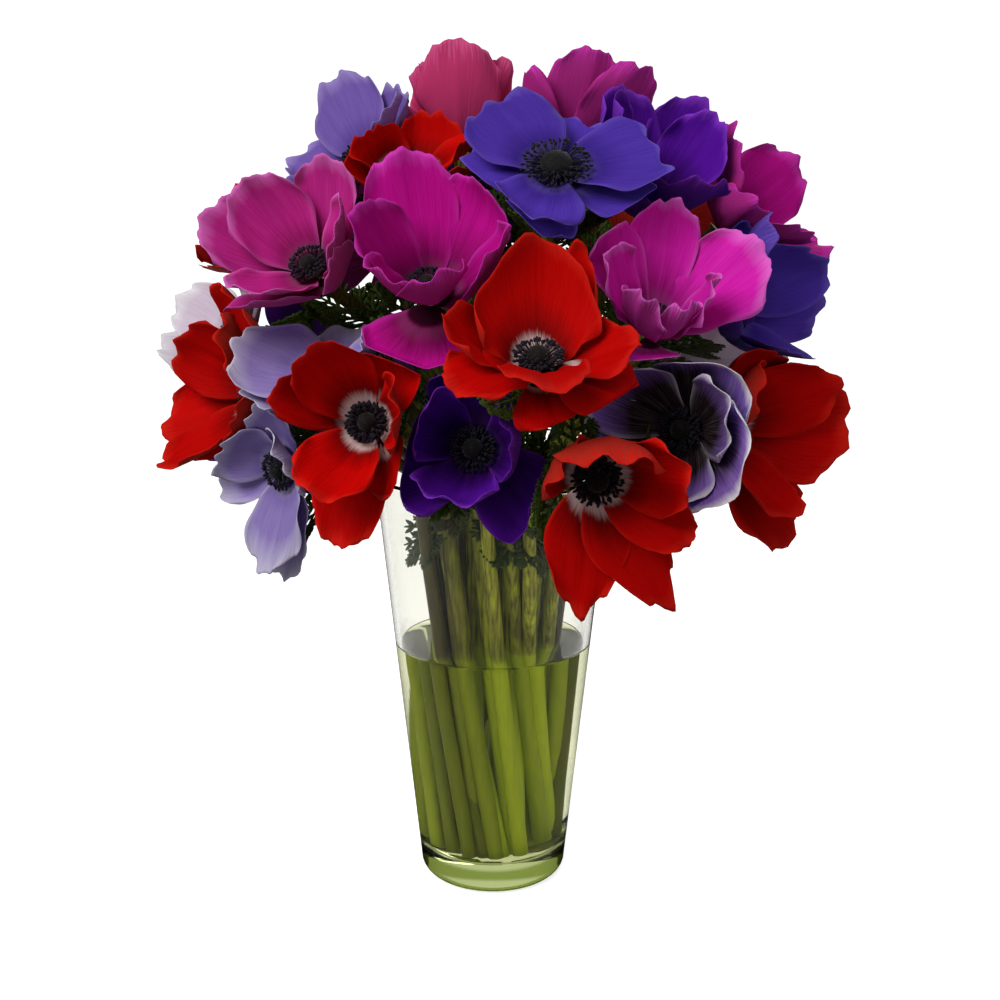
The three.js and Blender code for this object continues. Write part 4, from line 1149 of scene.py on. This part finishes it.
def cut_leaf(leaf, seed, rows, columns):
    """A finely cut leaf: a rib with pairs of leaflets, each with pairs of narrow lobes, all in the leaf's
    plane, which then cups across and arches along. Each blade is as wide as a sine of its length."""
    rng = np.random.default_rng(seed)
    length, half = leaf["length"], leaf["width"] / 2
    pairs = np.arange(LEAFLET_PAIRS)
    at = FIRST_PAIR + PAIR_STEP * pairs
    lean = np.radians(FIRST_LEAN - LEAN_STEP * pairs)
    reach = half * np.sin(math.pi * (0.3 + 0.62 * at)) * 1.05
    k = np.repeat(pairs, 2)
    side = np.tile([-1.0, 1.0], LEAFLET_PAIRS)
    root = np.stack([at[k] * length, np.zeros(len(k))], axis=-1)
    turn = side * (lean[k] + rng.uniform(-0.12, 0.12, len(k)))
    stretch = reach[k] * rng.uniform(0.85, 1.1, len(k))
    leaflets = np.concatenate([root, turn[:, None], stretch[:, None]], axis=1)
    rib = np.array([[0.0, 0.0, 0.0, length * 0.98]])
    share = np.tile(np.repeat(LOBES, 2), len(leaflets))
    fork = np.tile([-FORK, FORK], len(LOBES) * len(leaflets))
    stems = np.repeat(leaflets, 2 * len(LOBES), axis=0)
    heading = np.stack([np.cos(stems[:, 2]), np.sin(stems[:, 2])], axis=-1)
    start = stems[:, :2] + (share * stems[:, 3])[:, None] * heading
    angle = stems[:, 2] + fork + rng.uniform(-0.15, 0.15, len(share))
    lobes = np.concatenate([start, angle[:, None], (0.5 * stems[:, 3] * (1.25 - share))[:, None]], axis=1)
    blades = np.concatenate([rib, leaflets, lobes])
    widths = np.repeat([RIB_WIDTH, LEAFLET_WIDTH, LOBE_WIDTH], [1, len(leaflets), len(lobes)])
    t = np.linspace(0, 1, rows)[None, :, None]
    c = np.linspace(-1, 1, columns)[None, None, :]
    spine = blades[:, 3, None, None] * t
    broad = widths[:, None, None] / 2 * (0.25 + np.sin(math.pi * (0.06 + 0.93 * t))) * c
    ahead, aside = np.cos(blades[:, 2])[:, None, None], np.sin(blades[:, 2])[:, None, None]
    x = blades[:, 0, None, None] + spine * ahead - broad * aside
    y = blades[:, 1, None, None] + spine * aside + broad * ahead
    u, v = x / length, y / half
    over = length * u * (LEAF_CUP * v * v - leaf["arch"] * u)
    over = over - BLADE_DISH * c * c + BLADE_WAVE * np.sin(9 * u + 4 * v)
    flat = leaf["foot"] + x[..., None] * leaf["along"] + y[..., None] * leaf["side"]
    return flat + over[..., None] * leaf["over"]


# Operators

class BOUQUET_OT_petals(bpy.types.Operator):
    """Add the petals of every bloom"""
    bl_idname = "bouquet.petals"
    bl_label = "Petals"

    def execute(self, context):
        look = context.scene.bouquet_petals
        finishes = {tint: petal_finish(tint, tuple(getattr(look, tint))) for tint in TINTS}
        u, v = np.meshgrid(np.linspace(0, 1, look.rows), np.linspace(-1, 1, look.columns), indexing="ij")
        thin = look.thickness / MM * (1 - EDGE_THINNER * np.maximum(np.abs(v) ** 4, u ** 6))
        for flower in BLOOMS:
            name = flower["name"]
            cell = walls_of(flower)
            petals = petals_of(flower)
            middle = np.stack([
                keep_in_cell(petal_surface(flower, each, u, v, look), cell) for each in petals
            ])
            points, faces = sheets(middle, np.broadcast_to(thin, middle.shape[:3]))
            tones = np.array([draw(flower["seed"], k, 12) for k in range(len(petals))])
            layers = (len(petals), 2, *u.shape)
            place = np.stack(np.broadcast_arrays(v, u, tones[:, None, None, None]), axis=-1)
            place = np.broadcast_to(place, (*layers, 3)).reshape(-1, 3)
            back = np.broadcast_to(np.array([0.0, 1.0])[:, None, None], layers).ravel()
            finish = finishes[LOOKS.get(name, flower["tint"])]
            add_piece(f"{name}_flower", points, faces, finish, f"{flower['tint']}_petal",
                      [f"{name}_petals"], {"petal_place": place, "petal_back": back})
        return {"FINISHED"}


class BOUQUET_OT_hearts(bpy.types.Operator):
    """Add the seed head and stamens of every open bloom"""
    bl_idname = "bouquet.hearts"
    bl_label = "Hearts"

    def execute(self, context):
        look = context.scene.bouquet_hearts
        anther = heart_finish("anther", tuple(look.dark), tuple(look.pale))
        seed = heart_finish("seed_head", tuple(look.seed_dark), tuple(look.seed_pale))
        for flower in BLOOMS:
            if not flower["disc"]:
                continue
            radius, ring = disc_of(flower)
            name, nodes = flower["name"], [f"{flower['name']}_centre"]
            add_piece(f"{name}_stamens", *stamens(flower, radius, ring, look), anther, "centre", nodes)
            add_piece(f"{name}_seed_head", *seed_head(flower, radius, ring), seed, "centre", nodes)
        return {"FINISHED"}


class BOUQUET_OT_stems(bpy.types.Operator):
    """Add the stems, from the vase's floor to the blooms"""
    bl_idname = "bouquet.stems"
    bl_label = "Stems"

    def execute(self, context):
        look = context.scene.bouquet_greens
        finish = green_finish("stem", look)
        paths = np.stack([stem_points(flower, look.steps) for flower in BLOOMS])
        share = np.linspace(0, 1, paths.shape[1])
        flare = STEM_FLARE * np.maximum(0, (share - FLARE_START) / FLARE_RUN) ** 2
        swell = 1 + 0.05 * np.sin(9 * share) - 0.14 * share + flare
        thick = np.array([0.8 + 0.18 * draw(flower["seed"], 0, 24) for flower in BLOOMS])
        points, faces = tubes(paths, STEM_RADIUS * thick[:, None] * swell, look.sides)
        tones = [draw(flower["seed"], 0, 25) for flower in BLOOMS]
        add_piece("stem_bundle", points, faces, finish, "stem", ["stems"],
                  {"tone": np.repeat(tones, len(points) // len(tones))})
        return {"FINISHED"}


class BOUQUET_OT_leaves(bpy.types.Operator):
    """Add the cut leaves on the stems and at the neck"""
    bl_idname = "bouquet.leaves"
    bl_label = "Leaves"

    def execute(self, context):
        look = context.scene.bouquet_greens
        finish = green_finish("leaf", look)
        collars, inner = [], []
        for flower in BLOOMS:
            cell = walls_of(flower)
            for k, leaf in enumerate(leaf_places(flower)):
                middle = keep_in_cell(cut_leaf(leaf, flower["seed"] + 100 * k, 4, 2), cell)
                (inner if k else collars).append(middle)
        add_leaves("collar_leaves", collars, finish)
        add_leaves("inner_leaves", inner, finish)
        fronds = [
            cut_leaf(frond_place(*frond), 40 + k, 6, 3) for k, frond in enumerate(FRONDS + TUFTS)
        ]
        add_leaves("fronds", fronds, finish)
        return {"FINISHED"}


def add_leaves(name, middles, finish):
    """One piece of many leaves, each with a tone of its own."""
    leaves = [sheets(middle, np.full(middle.shape[:3], LEAF_THICKNESS)) for middle in middles]
    points, faces = joined(leaves)
    tones = [0.35 + 0.5 * draw(k, 0, 26) for k in range(len(leaves))]
    each = [len(leaf_points) for leaf_points, _ in leaves]
    add_piece(name, points, faces, finish, "stem", ["stems"], {"tone": np.repeat(tones, each)})


def round_edge(radius, height, bend):
    """A quarter circle, from straight down to straight out."""
    angle = math.pi / 2 * np.arange(ROUND_STEPS + 1) / ROUND_STEPS
    return np.stack([radius - bend + bend * np.sin(angle), height + bend - bend * np.cos(angle)], axis=-1)


class BOUQUET_OT_vase(bpy.types.Operator):
    """Add the clear tapered vase with its thick foot"""
    bl_idname = "bouquet.vase"
    bl_label = "Vase"

    def execute(self, context):
        look = context.scene.bouquet_glass
        finish = clear_finish("vase_glass", tuple(look.glass), GLASS_BENDING, tuple(look.foot))
        outer = round_edge(glass_radius(FOOT_ROUND), 0.0, FOOT_ROUND)
        inner = round_edge(inner_radius(FLOOR + FLOOR_ROUND), FLOOR, FLOOR_ROUND)
        low, high = FOOT_ROUND + BEND_CLEAR, VASE_HEIGHT - WALL / 2 - BEND_CLEAR
        outside = [[glass_radius(low), low], [glass_radius(high), high]]
        deep = FLOOR + FLOOR_ROUND + BEND_CLEAR
        inside = [[inner_radius(high), high], [inner_radius(deep), deep]]
        lip = TAU / 2 * np.arange(ROUND_STEPS + 1) / ROUND_STEPS
        middle, half = glass_radius(VASE_HEIGHT) - WALL / 2, WALL / 2
        rim = np.stack([middle + half * np.cos(lip), VASE_HEIGHT - half + half * np.sin(lip)], axis=-1)
        under = [[AXIS_RADIUS, 0.0], [outer[0, 0] - BEND_CLEAR, 0.0]]
        floor = [[inner[0, 0] - BEND_CLEAR, FLOOR], [AXIS_RADIUS, FLOOR]]
        profile = np.concatenate([under, outer, outside, rim, inside, inner[::-1], floor])
        add_piece("vase_glass", *lathe(profile, look.sides), finish, "glass", ["vase"])
        return {"FINISHED"}


class BOUQUET_OT_water(bpy.types.Operator):
    """Add the water, with its edge drawn up a little at the glass"""
    bl_idname = "bouquet.water"
    bl_label = "Water"

    def execute(self, context):
        look = context.scene.bouquet_glass
        finish = clear_finish("water", tuple(look.water), WATER_BENDING)
        low = FLOOR - WATER_BITE
        wall = inner_radius(WATER_LEVEL + WATER_CREEP) + WATER_BITE
        corner = round_edge(inner_radius(FLOOR + FLOOR_ROUND) + WATER_BITE, low, FLOOR_ROUND)
        inward = np.array([0.0, 0.4, 1.0, 2.0, 3.5, 6.0])
        creep = np.stack([wall - inward, WATER_LEVEL + WATER_CREEP * np.exp(-inward / CREEP_RUN)], axis=-1)
        deep, high = FLOOR + FLOOR_ROUND + BEND_CLEAR, WATER_LEVEL + 1.0
        wet = [[inner_radius(deep) + WATER_BITE, deep], [inner_radius(high) + WATER_BITE, high]]
        under = [[AXIS_RADIUS, low], [corner[0, 0] - BEND_CLEAR, low]]
        level = [[20.0, WATER_LEVEL], [AXIS_RADIUS, WATER_LEVEL]]
        profile = np.concatenate([under, corner, wet, creep, level])
        add_piece("water_body", *lathe(profile, look.sides), finish, "water", ["water"])
        return {"FINISHED"}


class BOUQUET_OT_studio(bpy.types.Operator):
    """Add the pale floor, the lights and the camera"""
    bl_idname = "bouquet.studio"
    bl_label = "Studio"

    def execute(self, context):
        look = context.scene.bouquet_studio
        paper = Finish("studio_paper")
        paper.set(Base_Color=(0.9, 0.9, 0.9), Roughness=0.9, Specular_IOR_Level=0.1)
        paper.set(Emission_Color=(1.0, 1.0, 1.0), Emission_Strength=look.glow)
        bend = np.linspace(0, math.pi / 2, 12)
        flat = PAPER_FLAT + PAPER_BEND * np.sin(bend)
        lift = PAPER_BEND - FLOOR_DROP - PAPER_BEND * np.cos(bend)
        run = np.concatenate([
            [[-PAPER_FRONT, -FLOOR_DROP]],
            np.stack([flat, lift], axis=-1),
            [[PAPER_FLAT + PAPER_BEND, PAPER_TOP]],
        ])
        across, deep = np.meshgrid([-PAPER_SIDE, PAPER_SIDE], run[:, 0])
        high = np.repeat(run[:, 1:], 2, axis=1)
        points = np.stack([across, deep, high], axis=-1).reshape(-1, 3)
        index = np.arange(len(points)).reshape(len(run), 2)
        quads = np.stack([index[:-1, 0], index[:-1, 1], index[1:, 1], index[1:, 0]], axis=-1)
        floor = add_mesh("studio_floor", points, [quads], paper.material)
        floor.visible_diffuse = False
        floor.visible_glossy = False
        world = bpy.data.worlds.new("studio_light")
        world.use_nodes = True
        background = world.node_tree.nodes["Background"]
        background.inputs["Color"].default_value = (1.0, 1.0, 1.0, 1.0)
        background.inputs["Strength"].default_value = look.sky
        world.cycles_visibility.glossy = False
        context.scene.world = world
        for name, power, place, target, size in LIGHTS:
            add_light(name, place, target, size, getattr(look, power))
        camera = bpy.data.objects.new("camera", bpy.data.cameras.new("camera"))
        camera.data.lens = look.lens
        camera.data.sensor_width = 36.0
        camera.data.shift_x = look.shift
        camera.data.clip_start = 0.01
        camera.location = (0.0, -look.distance, look.level)
        camera.rotation_euler = (math.pi / 2 - look.tilt, 0.0, 0.0)
        context.scene.collection.objects.link(camera)
        context.scene.camera = camera
        context.scene.view_settings.view_transform = "Standard"
        return {"FINISHED"}


def add_light(name, place, target, size, power):
    """A square area light at a place, turned to a target."""
    light = bpy.data.lights.new(name, "AREA")
    light.size = size
    light.energy = power
    made = bpy.data.objects.new(name, light)
    made.location = place
    aim = np.array(target) - np.array(place)
    flat = math.hypot(aim[0], aim[1])
    made.rotation_euler = (math.atan2(flat, -aim[2]), 0.0, math.atan2(-aim[0], aim[1]))
    bpy.context.scene.collection.objects.link(made)


class BOUQUET_PT_panel(bpy.types.Panel):
    """The bouquet's pieces, with the sizes and colours to change before they are made"""
    bl_label = "Anemone bouquet"
    bl_idname = "BOUQUET_PT_panel"
    bl_space_type = "VIEW_3D"
    bl_region_type = "UI"
    bl_category = "Bouquet"

    def draw(self, context):
        for group, operators in PANEL_ROWS:
            settings = getattr(context.scene, group)
            box = self.layout.box()
            for key in settings.__annotations__:
                box.prop(settings, key)
            for operator in operators:
                box.operator(operator)


PANEL_ROWS = [
    ("bouquet_petals", ["bouquet.petals"]),
    ("bouquet_hearts", ["bouquet.hearts"]),
    ("bouquet_greens", ["bouquet.stems", "bouquet.leaves"]),
    ("bouquet_glass", ["bouquet.vase", "bouquet.water"]),
    ("bouquet_studio", ["bouquet.studio"]),
]

GROUPS = {
    "bouquet_petals": BouquetPetals,
    "bouquet_hearts": BouquetHearts,
    "bouquet_greens": BouquetGreens,
    "bouquet_glass": BouquetGlass,
    "bouquet_studio": BouquetStudio,
}

CLASSES = (
    *GROUPS.values(),
    BOUQUET_OT_petals,
    BOUQUET_OT_hearts,
    BOUQUET_OT_stems,
    BOUQUET_OT_leaves,
    BOUQUET_OT_vase,
    BOUQUET_OT_water,
    BOUQUET_OT_studio,
    BOUQUET_PT_panel,
)


def register():
    for cls in CLASSES:
        bpy.utils.register_class(cls)
    for name, group in GROUPS.items():
        setattr(bpy.types.Scene, name, PointerProperty(type=group))


def unregister():
    for name in GROUPS:
        delattr(bpy.types.Scene, name)
    for cls in reversed(CLASSES):
        bpy.utils.unregister_class(cls)


def main():
    """Makes every piece and the studio."""
    register()
    bpy.ops.bouquet.petals()
    bpy.ops.bouquet.hearts()
    bpy.ops.bouquet.stems()
    bpy.ops.bouquet.leaves()
    bpy.ops.bouquet.vase()
    bpy.ops.bouquet.water()
    bpy.ops.bouquet.studio()
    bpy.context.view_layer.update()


if __name__ == "__main__":
    main()
